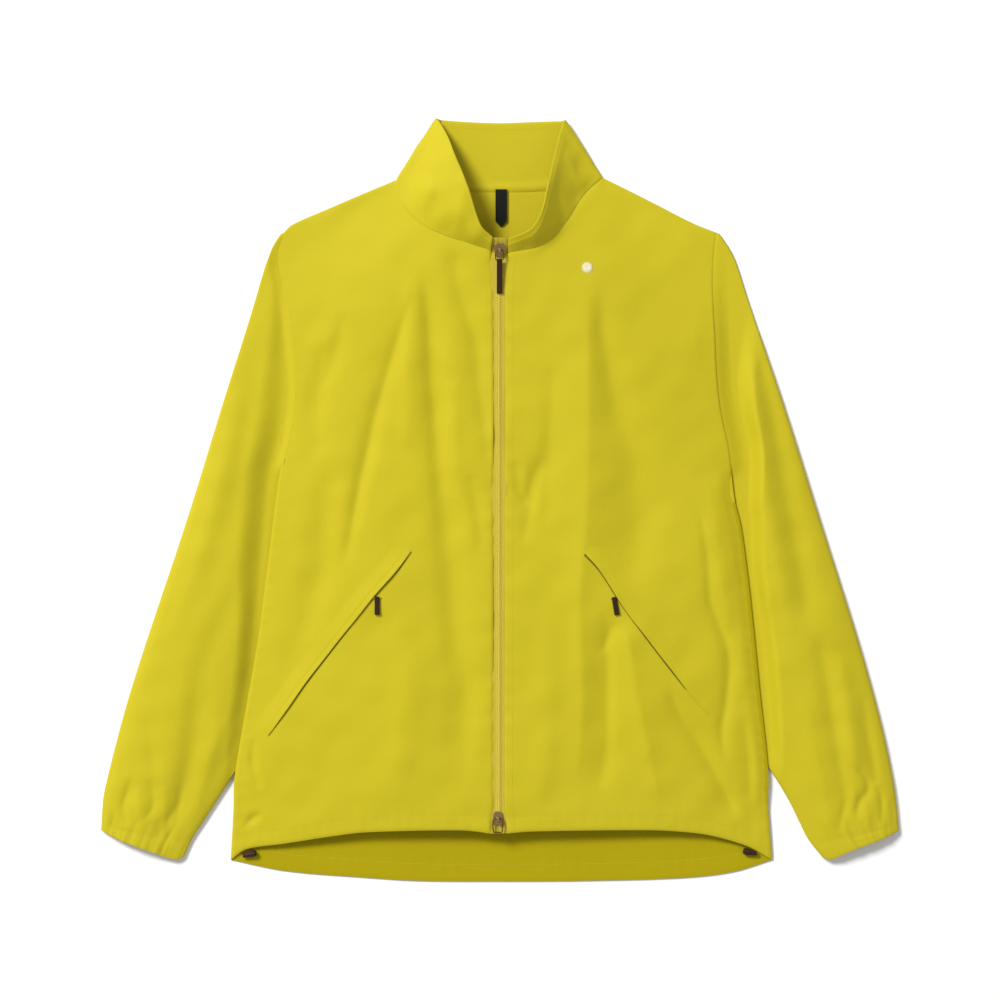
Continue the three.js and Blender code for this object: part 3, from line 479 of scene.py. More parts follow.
def rim_of(side):
    """The neck seam and the shoulder line of a front as one run of x, y and height of the outer face."""
    s = np.linspace(0, 1, 60)
    out, y, z = [reading(COLLAR[side], "s", column)(s) for column in ("seam_out", "seam_y", "seam_z")]
    neck = np.stack([SIGN[side] * out, y, z + WALL / 2], axis=1)
    shoulder = plan_curve(SHOULDER[side], SIGN[side])(np.linspace(0, 1, 50))[1:]
    return np.concatenate([neck, np.column_stack([shoulder, np.full(49, SHOULDER_EDGE)])])


RIM = {side: rim_of(side) for side in SIGN}


def from_rim(side, x, y):
    """Distance to the nearest place of the rim, found by projection on its segments, and its height there."""
    run = RIM[side]
    starts, steps = run[:-1, :2], np.diff(run[:, :2], axis=0)
    points = np.stack([np.ravel(x), np.ravel(y)], axis=1)
    distance, height = np.empty(len(points)), np.empty(len(points))
    for k in range(0, len(points), 2000):
        apart = points[k:k + 2000, None] - starts
        share = np.clip((apart * steps).sum(axis=-1) / (steps ** 2).sum(axis=-1), 0, 1)
        gap = np.linalg.norm(apart - share[..., None] * steps, axis=-1)
        nearest = gap.argmin(axis=1)
        rows = np.arange(len(nearest))
        distance[k:k + 2000] = gap[rows, nearest]
        height[k:k + 2000] = mix(run[nearest, 2], run[nearest + 1, 2], share[rows, nearest])
    return distance.reshape(np.shape(x)), height.reshape(np.shape(x))


def front_base(side, x, y):
    """Height of a front's outer face without its folds: across the body edge height plus (1 less share to
    the crown power) of the rise, running into the neck seam and the shoulder line at the top."""
    share = np.clip(np.abs(x) / side_edge[side](y), 0, 1)
    body = mix(edge_height(y), crown_height(y), 1 - share ** CROWN_POWER)
    distance, rim = from_rim(side, x, y)
    return mix(rim, body, ease(distance / RIM_REACH))


def front_relief(side, x, y):
    """The folds of a front, fading towards its side seam and its top edge."""
    margin = ease((1 - np.abs(x) / side_edge[side](y)) / FOLD_MARGIN["side"])
    return relief(x, y, BODY_FOLDS) * margin * ease(from_rim(side, x, y)[0] / FOLD_MARGIN["top"])


def front_top(side, x, y):
    """Height of a front's outer face with its folds."""
    return front_base(side, x, y) + front_relief(side, x, y)


def evened(grid, freedom, times):
    """A grid relaxed like hung cloth: each point moves to the mean of its neighbours by its freedom."""
    for _ in range(times):
        padded = np.pad(grid, ((1, 1), (1, 1), (0, 0)), mode="edge")
        mean = (padded[:-2, 1:-1] + padded[2:, 1:-1] + padded[1:-1, :-2] + padded[1:-1, 2:]) / 4
        grid = mix(grid, mean, freedom[..., None])
    return grid


def front_grid(side, rows=221, cols=93):
    """The front's outer face as a grid of points, from the neck and shoulder down to the hem."""
    sign = SIGN[side]
    collar = COLLAR[side]
    neck = [reading(collar, "s", column) for column in ("seam_out", "seam_y")]
    shoulder = plan_curve(SHOULDER[side], sign)
    hem = plan_curve(FRONT_HEM[side], sign)
    edge_y = SIDE_EDGE[side]["y"]

    def top(u):
        u = np.asarray(u)
        at_neck = np.stack([sign * neck[0](2 * u), neck[1](2 * u)], axis=-1)
        return np.where((u < 0.5)[..., None], at_neck, shoulder(2 * u - 1))

    def side_seam(v):
        y = mix(edge_y[0], edge_y[-1], np.asarray(v))
        return np.stack([sign * side_edge[side](y), y], axis=-1)

    start, end = top(0.0), hem(0.0)
    plan = patch(top, hem, lambda v: mix(start, end, np.asarray(v)[..., None]), side_seam,
                 np.linspace(0, 1, rows), np.linspace(0, 1, cols))
    x, y = plan[..., 0], plan[..., 1]
    # Between its sliders the zip draws the two edges together, over the tapes.
    beside = bell(np.abs(x) - np.abs(x[:, :1]), 12)
    drawn = ZIP_DRAW * beside * ease((y - ZIP_FOOT) / 26) * ease((ZIP_TOP - y) / 22)
    grid = np.dstack([x - sign * drawn, y, front_base(side, x, y)])
    centre, seam, top_edge, hem_edge = edge_distances(grid)
    loose = ease(top_edge / 6) * ease(seam / 8) * ease((centre - 12) / 20) * ease((y - 40) / 90)
    grid = evened(grid, loose, 160)
    x, y = grid[..., 0], grid[..., 1]
    grid[..., 2] += front_relief(side, x, y)
    # The cloth rolls down at its seams, puckers along them, and is held flat by the hem's casing.
    below_arm = ease((40 - y) / 30)
    roll = mix(0.1, 0.9, below_arm) * (1 - ease(seam / 3))
    if side == "left":
        roll += 2.6 * (1 - ease(seam / 17)) * below_arm * ease((y + 340) / 60)
    roll += 0.6 * (1 - ease(hem_edge / 1.8)) + (0.7 if side == "right" else 0.3) * (1 - ease(centre / 3))
    pucker = wavering(y, 15, 1.3, 21) * np.exp(-seam / 9) * ease(seam / 4) * mix(0.15, 0.35, below_arm)
    pucker += wavering(y, 23, 1.7, 31) * np.exp(-centre / 10) * 0.25
    casing = -0.2 * bell(hem_edge, 1.2, HEM_CASING)
    hem_pucker = 0.12 * wavering(x, 13, 1.5, 17) * bell(hem_edge, 9, HEM_CASING - 4)
    ease_in = ease(top_edge / 12)
    soft = unit_noise(x, y, 11, [(95, 0.5), (46, 0.28)]) * ease(seam / 25) * ease_in * ease(hem_edge / 20)
    grid[..., 2] += -roll + (pucker + casing + hem_pucker) * ease_in + soft
    return grid


fronts = {}
for side in SIGN:
    fronts[side] = front_grid(side)
    grid = fronts[side] if side == "left" else fronts[side][:, ::-1]
    piece = thicken(surface(f"front_panel_{side}", grid[::-1]), SHELL)
    piece.data.materials.append(nylon)
    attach(piece, "jacket")
    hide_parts(f"front_{side}")


# The back panel: the same nylon in one piece from shoulder to shoulder, flat on the surface. Only its
# inside shows, in the open neck and hem. It carries the hem's casing line and soft creases.
BACK_NECK = table("x y", [(-101, 323), (-50, 314), (0, 312), (50, 314), (101, 325)])
BACK_HEM = table("x y", [
    (-270, -361), (-216, -372), (-132, -379), (-82, -382), (0, -382.5), (84, -382), (184, -379),
    (234, -373), (273, -361)])
SLEEVE_INNER = {
    "right": table("y out", [
        (28, 221), (5, 221), (-20, 212), (-60, 192), (-120, 197), (-190, 216), (-240, 241), (-274, 266),
        (-300, 283), (-320, 296), (-340, 309), (-358, 317)]),
    "left": table("y out", [
        (28, 232), (5, 232), (-20, 223), (-60, 203), (-120, 206), (-190, 224), (-240, 247), (-271, 271),
        (-300, 289), (-320, 299), (-340, 309), (-358, 323)]),
}
BACK_OVER_SLEEVE = 3.9
UNDERARM_Y = 28
BACK_LIFT = {"full": 28, "run": 40, "top_y": 100, "top_run": 68, "hem_y": -340, "hem_run": 60}
sleeve_inner = {side: reading(SLEEVE_INNER[side], "y", "out") for side in SIGN}

# Creases of the back, as on the fronts but not their mirror
BACK_FOLDS = [
    (1.8, [(-150, 260, 10, 14, 0.6), (-120, 120, 12, 16, 1.8), (-95, -20, 12, 16, 1.6),
           (-90, -150, 10, 12, 0.6)]),
    (1.8, [(120, 280, 10, 12, 0.6), (90, 160, 14, 12, 1.7), (70, 40, 14, 14, 1.9),
           (80, -90, 10, 12, 0.6)]),
    (1.6, [(-40, -40, 8, 10, 0.5), (-60, -160, 10, 12, 1.7), (-52, -270, 10, 10, 1.2),
           (-60, -340, 8, 8, 0.4)]),
    (1.6, [(150, -60, 8, 10, 0.5), (130, -170, 10, 12, 1.8), (140, -280, 10, 10, 1.4),
           (128, -350, 8, 8, 0.5)]),
    (1.8, [(10, 230, 10, 10, 0.5), (0, 120, 14, 14, 1.5), (12, 20, 12, 12, 0.6)]),
]


def back_under(x, y):
    """Height of the back's underside: 0 on the surface, easing up over the hidden part of the sleeves."""
    inward = [np.where(y > UNDERARM_Y, side_edge[side](y), sleeve_inner[side](y)) for side in SIGN]
    start = np.where(x < 0, *inward) - BACK_LIFT["full"] - BACK_LIFT["run"]
    lift = ease((np.abs(x) - start) / BACK_LIFT["run"])
    below_arm = ease((BACK_LIFT["top_y"] - y) / BACK_LIFT["top_run"])
    return BACK_OVER_SLEEVE * lift * below_arm * ease((y - BACK_LIFT["hem_y"]) / BACK_LIFT["hem_run"])


def back_grid(rows=150, cols=121):
    """The back's inner face, seen from above: a patch between shoulders, neck, side seams and hem."""
    right, left = plan_curve(SHOULDER["right"], -1), plan_curve(SHOULDER["left"])
    neck, hem = plan_curve(BACK_NECK), plan_curve(BACK_HEM)

    def top(u):
        u = np.asarray(u)
        low, middle, high = right(1 - u / 0.3), neck((u - 0.3) / 0.4), left((u - 0.7) / 0.3)
        u = u[..., None]
        return np.where(u < 0.3, low, np.where(u > 0.7, high, middle))

    def side_seam(side):
        edge_y = SIDE_EDGE[side]["y"]
        return lambda v: np.stack([
            SIGN[side] * side_edge[side](mix(edge_y[0], edge_y[-1], np.asarray(v))),
            mix(edge_y[0], edge_y[-1], np.asarray(v))], axis=-1)

    plan = patch(top, hem, side_seam("right"), side_seam("left"),
                 np.linspace(0, 1, rows), np.linspace(0, 1, cols))
    x, y = plan[..., 0], plan[..., 1]
    grid = np.dstack([x, y, back_under(x, y) + WALL])
    first, last, top_edge, hem_edge = edge_distances(grid)
    inner = ease(first / 30) * ease(last / 30) * ease(top_edge / 30) * ease(hem_edge / 8)
    grid[..., 2] += relief(x, y, BACK_FOLDS) * inner
    grid[..., 2] -= 0.3 * bell(hem_edge, 1.3, HEM_CASING + 1) * ease(first / 12) * ease(last / 12)
    pucker = wavering(x, 12, 1.9, 19) * bell(hem_edge, 8, HEM_CASING - 1)
    grid[..., 2] += 0.3 * pucker * ease(first / 12) * ease(last / 12)
    return grid


back_face = back_grid()
back = thicken(surface("back_panel", back_face[::-1]), SHELL)
# A darker tone of the nylon as painted shade, for the shadow that the front's hem casts into the open hem
hem_shade_nylon = cloth_material(
    "nylon_painted_hem_shade", light=(0.42, 0.340, 0.002), dark=(0.39, 0.312, 0.0015), roughness=0.7, sheen=0.0,
    pitch=2200.0, weave_depth=0.04, crinkle_size=70.0, crinkle_depth=0.35)
back.data.materials.append(hem_shade_nylon)
back.data.materials.append(nylon)
back.modifiers["wall"].material_offset = 1
# Only the open hem's part of the inside gets the darker tone, painted shade for the shadow under the front's
# hem; at the neck the cloth is as bright as usual
middles = np.empty(len(back.data.polygons) * 3)
back.data.polygons.foreach_get("center", middles)
back.data.polygons.foreach_set("material_index", (middles[1::3] > 0).astype(np.int32))
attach(back, "jacket")
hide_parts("back")


# The sleeves: tubes of the same nylon set in at the armhole, their inner edges lying under the body. The
# cuff is a turned hem with elastic in it, which gathers the cloth into short folds.
SLEEVE_OUTER = {
    "right": table("y out", [
        (270, 218), (254, 228), (240, 233), (200, 245), (100, 277), (-20, 314), (-140, 354), (-200, 373),
        (-240, 384), (-280, 394), (-300, 398), (-331, 400)]),
    "left": table("y out", [
        (270, 218), (254, 229), (240, 236), (200, 249), (100, 283), (-20, 321), (-140, 359), (-200, 376),
        (-240, 386), (-280, 394), (-300, 397), (-331, 400)]),
}
CUFF = {
    "right": table("out y", [(400, -331), (382, -340), (350, -352), (326, -360), (317, -358)]),
    "left": table("out y", [(400, -331), (381, -340), (352, -351), (331, -360), (323, -358)]),
}
SLEEVE_RUN = {"outer": 1.25, "inner": 1.9}
SLEEVE_LENS = 0.6
SLEEVE_EDGE = 3.6
SLEEVE_LENGTH = 500
CUFF_CASING = 13
SEAM_TUCK = 2.6
SLEEVE_CROWN = table("v z", [(0, 8), (0.2, 13.5), (0.5, 16), (0.8, 15), (1, 11.5)])
sleeve_crown = reading(SLEEVE_CROWN, "v", "z")

SLEEVE_FOLDS = {
    "right": [
        (2.0, [(-252, 10, 10, 12, -0.6), (-259, -80, 12, 14, -1.6), (-281, -130, 12, 14, -2),
               (-297, -169, 12, 16, -2.4), (-303, -211, 12, 14, -3), (-309, -253, 11, 10, -3.2),
               (-318, -294, 8, 9, -2.2), (-321, -336, 7, 7, -1)]),
        (2.0, [(-239, 170, 12, 12, -0.8), (-250, 90, 14, 16, -2), (-264, 0, 14, 16, -2),
               (-293, -110, 12, 12, -0.8)]),
        (2.0, [(-257, 120, 9, 9, 0.6), (-275, 40, 12, 12, 1.8), (-299, -50, 12, 12, 1.8),
               (-330, -140, 9, 9, 0.6)]),
        (1.8, [(-277, -215, 7, 8, 0.6), (-287, -250, 8, 9, 2), (-298, -290, 8, 8, 1.6),
               (-306, -325, 6, 6, 0.6)]),
        (1.6, [(-354, -215, 7, 8, -0.6), (-347, -262, 8, 9, -1.6), (-346, -300, 7, 7, -0.8)]),
        (1.4, [(-369, -276, 3, 5, -0.6), (-373, -293, 4, 5, -2.4), (-377, -306, 4, 5, -2.2),
               (-374, -328, 3, 4, -0.6)]),
        (1.4, [(-352, -278, 3, 4, -0.6), (-347, -300, 4, 5, -2.2), (-349, -311, 4, 4, -2),
               (-356, -320, 3, 4, -0.6)]),
        (1.3, [(-344, -320, 3, 3, -0.5), (-341, -333, 3, 4, -1.8), (-337, -347, 3, 3, -0.5)]),
        (1.3, [(-325, -306, 3, 3, -0.5), (-332, -323, 4, 4, -2.2), (-329, -346, 3, 3, -0.6)]),
        (1.4, [(-319, -284, 3, 4, -0.5), (-322, -306, 4, 4, -2), (-326, -326, 3, 3, -0.6)]),
        (1.6, [(-363, -288, 4, 4, 0.6), (-361, -304, 5, 5, 1.8), (-359, -320, 4, 4, 0.6)]),
        (1.6, [(-338, -286, 4, 4, 0.6), (-335, -304, 5, 5, 1.6), (-336, -318, 4, 4, 0.6)]),
        (1.3, [(-386, -312, 3, 3, -0.4), (-388, -324, 3, 3, -1.4), (-386, -333, 3, 3, -0.4)]),
    ],
    "left": [
        (2.0, [(240, 190, 7, 8, 0.6), (250, 120, 8, 9, 2), (258, 60, 9, 10, 2.4), (266, 0, 10, 10, 2.4),
               (284, -100, 10, 11, 1.8), (294, -160, 9, 10, 0.8)]),
        (2.0, [(257, 205, 9, 10, -1), (266, 130, 11, 12, -2.8), (282, 40, 11, 13, -3.2),
               (294, -30, 11, 13, -3.2), (304, -80, 11, 12, -3), (312, -135, 9, 10, -1)]),
        (1.8, [(316, -130, 8, 8, -1), (326, -175, 10, 10, -3), (333, -220, 10, 10, -3.2),
               (339, -255, 9, 9, -3), (344, -290, 7, 8, -2), (348, -320, 5, 6, -0.8)]),
        (1.8, [(362, -190, 6, 6, -0.8), (369, -235, 8, 7, -2.6), (374, -265, 7, 6, -2),
               (378, -290, 5, 5, -0.6)]),
        (1.8, [(340, -150, 8, 9, 0.8), (347, -205, 9, 9, 1.8), (353, -250, 8, 8, 1.6),
               (358, -275, 6, 6, 0.6)]),
        (1.8, [(305, -190, 8, 8, 0.6), (311, -240, 9, 9, 1.2), (323, -290, 8, 8, 1),
               (330, -335, 6, 6, 0.6)]),
        (1.4, [(354, -264, 3, 4, -0.6), (367, -280, 4, 5, -2.2), (368, -291, 4, 5, -2.4),
               (359, -303, 4, 4, -2.2), (356, -322, 3, 4, -0.6)]),
        (1.4, [(376, -284, 3, 4, -0.6), (382, -300, 4, 4, -2.2), (381, -328, 3, 3, -0.6)]),
        (1.4, [(347, -298, 3, 4, -0.6), (343, -313, 4, 4, -2), (338, -332, 3, 3, -0.6)]),
        (1.3, [(391, -298, 3, 3, -0.4), (394, -312, 3, 3, -1.4), (395, -326, 3, 3, -0.4)]),
        (1.6, [(362, -306, 4, 4, 0.5), (367, -316, 5, 5, 1.6), (369, -328, 4, 4, 0.5)]),
        (1.6, [(352, -286, 4, 4, 0.5), (354, -298, 4, 4, 1.4), (352, -310, 4, 4, 0.5)]),
    ],
}
# Folds of the underside, where the cloth leaves the surface
UNDER_FOLDS = [
    (1.8, [(240, 120, 12, 12, 1), (275, 0, 14, 14, 1), (318, -140, 12, 12, 1)]),
    (1.8, [(250, -60, 10, 10, 1), (300, -190, 12, 12, 1), (350, -300, 10, 10, 1)]),
]
# Beside the body's edge the sleeve first lies low, over the width flat, and then rises to its own crown
SLEEVE_FALL = {
    "right": table("y flat rise low", [
        (268, 0, 6, 3), (240, 0, 9, 3.2), (200, 0, 14, 4.6), (120, 9, 25, 5), (60, 10, 28, 3.8),
        (30, 9, 27, 3.6), (-60, 6, 25, 3.4), (-150, 1, 18, 3.4), (-240, -2, 16, 3.4),
        (-300, -4, 12, 3.4)]),
    "left": table("y flat rise low", [
        (268, 2, 20, 3), (240, 30, 30, 2.2), (200, 36, 30, 2.2), (160, 26, 26, 2.2), (120, 20, 20, 2.2),
        (60, 20, 16, 2.2), (30, 18, 15, 2.4), (-60, 6, 12, 2.8), (-150, 8, 12, 2.8), (-240, 5, 12, 3),
        (-300, -2, 10, 3.4)]),
}


def sleeve_rings(side, stations=190, across=66):
    """Closed rings of points from armhole to cuff: over the top face and back along the flat underside.
    The plan is a patch between the armhole, the cuff and both edges, and the top face has its own height."""
    sign = SIGN[side]
    edge_y = SIDE_EDGE[side]["y"]
    top_y, low_y = edge_y[0], mix(edge_y[0], edge_y[-1], 8 / 21)

    def armhole(u):
        y = mix(top_y, low_y, np.asarray(u))
        return np.stack([sign * (side_edge[side](y) + 0.4), y], axis=-1)

    cuff, outer, inner = [plan_curve(rows[side], sign) for rows in (CUFF, SLEEVE_OUTER, SLEEVE_INNER)]
    start, end = armhole(0.0), armhole(1.0)

    def outer_run(v):
        return np.where((v == 0)[..., None], start, outer(1 - (1 - v) ** SLEEVE_RUN["outer"]))

    def inner_run(v):
        return np.where((v == 0)[..., None], end, inner(v ** SLEEVE_RUN["inner"]))

    # Ends of the rings are drawn close together, so that the turned edges come out round
    u = 0.5 - 0.5 * np.cos(np.pi * np.linspace(0, 1, across))
    u = mix(np.linspace(0, 1, across), u, 0.55)
    v = np.linspace(0, 1, stations)
    plan = patch(armhole, cuff, outer_run, inner_run, v, u)
    x, y = plan[..., 0], plan[..., 1]
    uu, vv = u[None, :], v[:, None]
    beyond = np.abs(x) - side_edge[side](y)
    flat, rise, low = [reading(SLEEVE_FALL[side], "y", column)(y) for column in ("flat", "rise", "low")]
    covered = 1 - ease((beyond - flat) / rise)
    room = (4 * uu * (1 - uu)) ** SLEEVE_LENS
    if side == "right":
        room = room * (1 - 0.4 * ease((uu - 0.35) / 0.5) * ease((-40 - y) / 80))
    to_cuff = np.clip((1 - vv) * SLEEVE_LENGTH, 0, None)
    draw = np.random.default_rng(5 if side == "right" else 9)
    gathers = np.zeros_like(x)
    for count in (5, 8, 13, 19):
        phase, bend = draw.uniform(0, 6.28, 2)
        reach = 420 / (count + 7)
        patchy = 0.55 + 0.45 * np.cos(2 * np.pi * uu * (1.3 + 0.2 * count) + bend * 3)
        wave = np.cos(2 * np.pi * count * uu + phase + 1.3 * np.sin(to_cuff / 26 + bend))
        gathers += 1.5 / (count + 2) ** 0.6 * patchy * wave * bell(to_cuff, reach)
    stitch = -0.45 * bell(to_cuff, 1.4, CUFF_CASING)
    clear = np.clip(beyond, 0, 99)
    crown_run = np.cos(2 * np.pi * uu * 9 + 1.2 * np.sin(uu * 9)) * 0.35 * np.exp(-clear / 9)
    folds = relief(x, y, SLEEVE_FOLDS[side]) * ease(beyond / 6 + ease((40 - y) / 60)) * ease((1 - vv) / 0.03)
    soft = unit_noise(x, y, 21, [(80, 0.4), (38, 0.25)]) * ease(vv / 0.06)
    marks = folds + gathers + stitch + crown_run + soft
    top = SLEEVE_EDGE + (sleeve_crown(vv) - SLEEVE_EDGE) * room + marks * ease(room / 0.7)
    top = mix(top, low, covered)
    # The seam allowance: the first rows reach in under the front's edge, just below its cloth.
    seam_room = ease(uu / 0.035) * ease((y - 20) / 18)
    tucked = bell(beyond, 3) * seam_room
    fade = np.clip(1 - beyond / 16, 0, 1) ** 1.6 if side == "left" else bell(beyond, 4)
    seam_level = front_base(side, sign * side_edge[side](y), y)
    top = mix(top, seam_level + 0.25, fade * seam_room)
    top = top - 0.5 * bell(beyond, 1.2) * seam_room
    upper = np.dstack([x - sign * SEAM_TUCK * tucked, y, np.maximum(top, 2.2)])
    upper[:, 0, 2] = upper[:, -1, 2] = 1.8
    gathered = 0.5 + 0.5 * np.cos(2 * np.pi * 6 * uu + 1)
    under_z = gathered * np.exp(-to_cuff / 22) * ease(4 * uu * (1 - uu))
    under_z = under_z + 1.1 * ease(relief(sign * x, y, UNDER_FOLDS))
    lower = np.dstack([x, y, under_z])[:, -2:0:-1]
    return np.concatenate([upper, lower], axis=1)


sleeves = {}
for side in SIGN:
    sleeves[side] = sleeve_rings(side)
    ordered = sleeves[side] if side == "left" else sleeves[side][:, ::-1]
    sleeve = thicken(surface(f"sleeve_tube_{side}", ordered, ring=True), SHELL, even=False)
    sleeve.data.materials.append(nylon)
    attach(sleeve, "jacket")
    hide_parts(f"sleeve_{side}")


# The stand collar: a double layer of the nylon sewn to the neck line and stitched along its top, where a
# narrow binding finishes it. The two front ends fall open at the zip and the rest stands round the neck.
COLLAR_STITCH = 6.3
COLLAR_WALL = 1.2
BACK_COLLAR_TOP = table("x y", [(-59, 381), (-30, 379), (0, 378), (30, 379), (61, 380)])
COLLAR_TIP = {"right": (64, 382.2, 6), "left": (66, 380.8, 6)}
COLLAR_FOLDS = [
    (1.6, [(-77, 362, 4, 6, -0.3), (-75, 335, 6, 9, -1.6), (-73, 300, 5, 8, -0.3)]),
    (1.6, [(64, 365, 5, 7, -0.3), (56, 335, 7, 9, -1.5), (50, 305, 5, 7, -0.3)]),
    (1.6, [(-96, 300, 6, 6, 0.3), (-82, 330, 8, 8, 1.4), (-70, 355, 6, 6, 0.3)]),
    (1.4, [(-80, 286, 4, 6, -0.3), (-68, 310, 5, 8, -1.5), (-60, 345, 4, 6, -0.3)]),
    (1.6, [(-44, 262, 5, 6, -0.3), (-40, 285, 7, 7, -1.2), (-38, 310, 5, 5, -0.3)]),
    (1.6, [(30, 255, 5, 6, -0.3), (38, 272, 7, 7, -1.1), (42, 290, 5, 5, -0.3)]),
    (1.5, [(64, 280, 5, 5, 0.3), (60, 300, 7, 7, 1.3), (58, 325, 5, 5, 0.3)]),
    (1.5, [(86, 305, 5, 5, -0.3), (74, 325, 6, 6, -1.3), (66, 350, 5, 5, -0.3)]),
]


def collar_grid(around=44, rise=26):
    """The collar's middle skin: stations round the neck, each a line from seam to top plus a sine bulge."""
    seams, tops, bulges = [], [], []
    for side in ("right", "left"):
        sign = SIGN[side]
        s = np.linspace(0, 1, around)
        read = {name: reading(COLLAR[side], "s", name) for name in COLLAR[side] if name != "s"}
        seam = np.stack([sign * read["seam_out"](s), read["seam_y"](s), read["seam_z"](s)], axis=1)
        top = np.stack([sign * read["top_out"](s), read["top_y"](s), read["top_z"](s)], axis=1)
        bulge = (3 if side == "right" else 1.5) * np.sin(np.pi * np.clip(0.1 + 0.95 * s, 0, 1))
        out, y, z = COLLAR_TIP[side]
        turn = np.linspace(0, 1, 7)[1:, None]
        seam = np.concatenate([seam, mix(seam[-1:], np.array([[sign * 102, 324, 1.9]]), turn)])
        top = np.concatenate([top, mix(top[-1:], np.array([[sign * out, y, z]]), turn)])
        bulge = np.concatenate([bulge, np.linspace(bulge[-1], 0, 7)[1:]])
        flip = slice(None) if side == "right" else slice(None, None, -1)
        seams.append(seam[flip])
        tops.append(top[flip])
        bulges.append(bulge[flip])
    share = np.linspace(0, 1, 46)
    level = np.full((46, 1), WALL / 2)
    back_seam = np.concatenate([plan_curve(BACK_NECK)(share), level], axis=1)
    back_top = np.concatenate([plan_curve(BACK_COLLAR_TOP)(share), level], axis=1)
    seam = np.concatenate([seams[0], back_seam, seams[1]])
    top = np.concatenate([tops[0], back_top, tops[1]])
    bulge = np.concatenate([bulges[0], np.zeros(46), bulges[1]])[:, None, None]
    lean = top - seam
    length = np.linalg.norm(lean, axis=1)
    outwards = unit(np.stack([-lean[:, 1], lean[:, 0], np.zeros(len(lean))], axis=1))
    outwards *= np.where(outwards[:, :1] * seam[:, :1] < 0, -1, 1)
    # The seam allowance laps over the back's edge and under the fronts' edges
    lap = np.where(np.abs(seam[:, 2] - WALL / 2) < 0.01, -5.0, -1.0)
    t = mix((lap / length)[:, None], 1, np.linspace(0, 1, rise)[None, :])[..., None]
    arch = bulge * np.sin(np.pi * t)
    grid = seam[:, None] + lean[:, None] * t + arch * (0.4 * outwards[:, None] + np.array([0, 0, 1.0]))
    along = t[..., 0] * length[:, None]
    raised = 1.3 * ease((along + 5) / 5) * (1 - ease((along - 1) / 7)) - 0.8 * (1 - ease((along + 5) / 4))
    grid[..., 2] += np.where((lap < -2)[:, None], raised, 0.2 * (1 - ease((along + 1) / 6)))
    return grid


def normals_of(grid):
    """Unit normals of a grid: the cross product of its two gradients."""
    down, across = np.gradient(grid, axis=0), np.gradient(grid, axis=1)
    return unit(np.cross(down, across))


collar_middle = collar_grid()
collar_out = normals_of(collar_middle)
from_seam, from_top = edge_distances(collar_middle)[:2]
edging = 0.28 * (1 - ease((from_top - 5.5) / 1.2)) - 0.22 * bell(from_top, 0.9, COLLAR_STITCH)
x, y, z = np.moveaxis(collar_middle, -1, 0)
puckers = 0.21 * np.cos(x / 3.1 + 2 * np.sin(y / 23)) * np.exp(-from_seam / 7) * ease(from_seam / 5)
waves = unit_noise(x, y, 33, [(44, 0.45), (22, 0.25)])
creased = relief(x, y, COLLAR_FOLDS)
standing = ease((z - WALL) / 3)
offset = (edging + puckers) * mix(0.25, 1, standing) + (waves + creased) * ease(from_seam / 10) * standing
collar_skin = collar_middle + collar_out * offset[..., None]
collar = thicken(surface("stand_collar", collar_skin[::-1]), COLLAR_WALL, 0.0, even=False)
collar.data.materials.append(nylon)
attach(collar, "jacket")
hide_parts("collar")


def inset_run(grid, distance, first=True):
    """The line on a grid that lies a distance in from its first or last column, one point for each row."""
    grid = grid if first else grid[:, ::-1]
    across = edge_distances(grid)[0]
    before = np.clip((across < distance).sum(axis=1) - 1, 0, grid.shape[1] - 2)
    rows = np.arange(len(grid))
    a, b = across[rows, before], across[rows, before + 1]
    share = np.clip((distance - a) / np.maximum(b - a, 1e-6), 0, 1)[:, None]
    return mix(grid[rows, before], grid[rows, before + 1], share)


def height_on(grid, x, y):
    """Height of a grid at places: the nearest grid point's tangent plane, read at each place."""
    points, normals = grid.reshape(-1, 3), normals_of(grid).reshape(-1, 3)
    nearest = np.empty(x.size, int)
    flat_x, flat_y = x.ravel(), y.ravel()
    for k in range(0, x.size, 400):
        part = slice(k, k + 400)
        dx = flat_x[part, None] - points[None, :, 0]
        dy = flat_y[part, None] - points[None, :, 1]
        nearest[part] = np.argmin(dx * dx + dy * dy, axis=1)
    at, normal = points[nearest], normals[nearest]
    lean = normal[:, 0] * (flat_x - at[:, 0]) + normal[:, 1] * (flat_y - at[:, 1])
    return (at[:, 2] - lean / normal[:, 2]).reshape(x.shape)


# The pocket lips: the cloth of each slanted mouth, folded under along it and stitched, so that its edge
# stands a little proud and shades the zip behind it. Away from the edge it sinks into the front panel.
POCKET_LINE = {
    "right": table("out y", [(84, -45), (99, -66), (129, -100), (166, -147), (202, -194), (236, -242)]),
    "left": table("out y", [(79, -49), (99, -70), (122, -105), (151, -144), (179, -180), (214, -222)]),
}
LIP_WIDTH = 24.0
LIP_WALL = 0.6
LIP_STITCH = 4.5


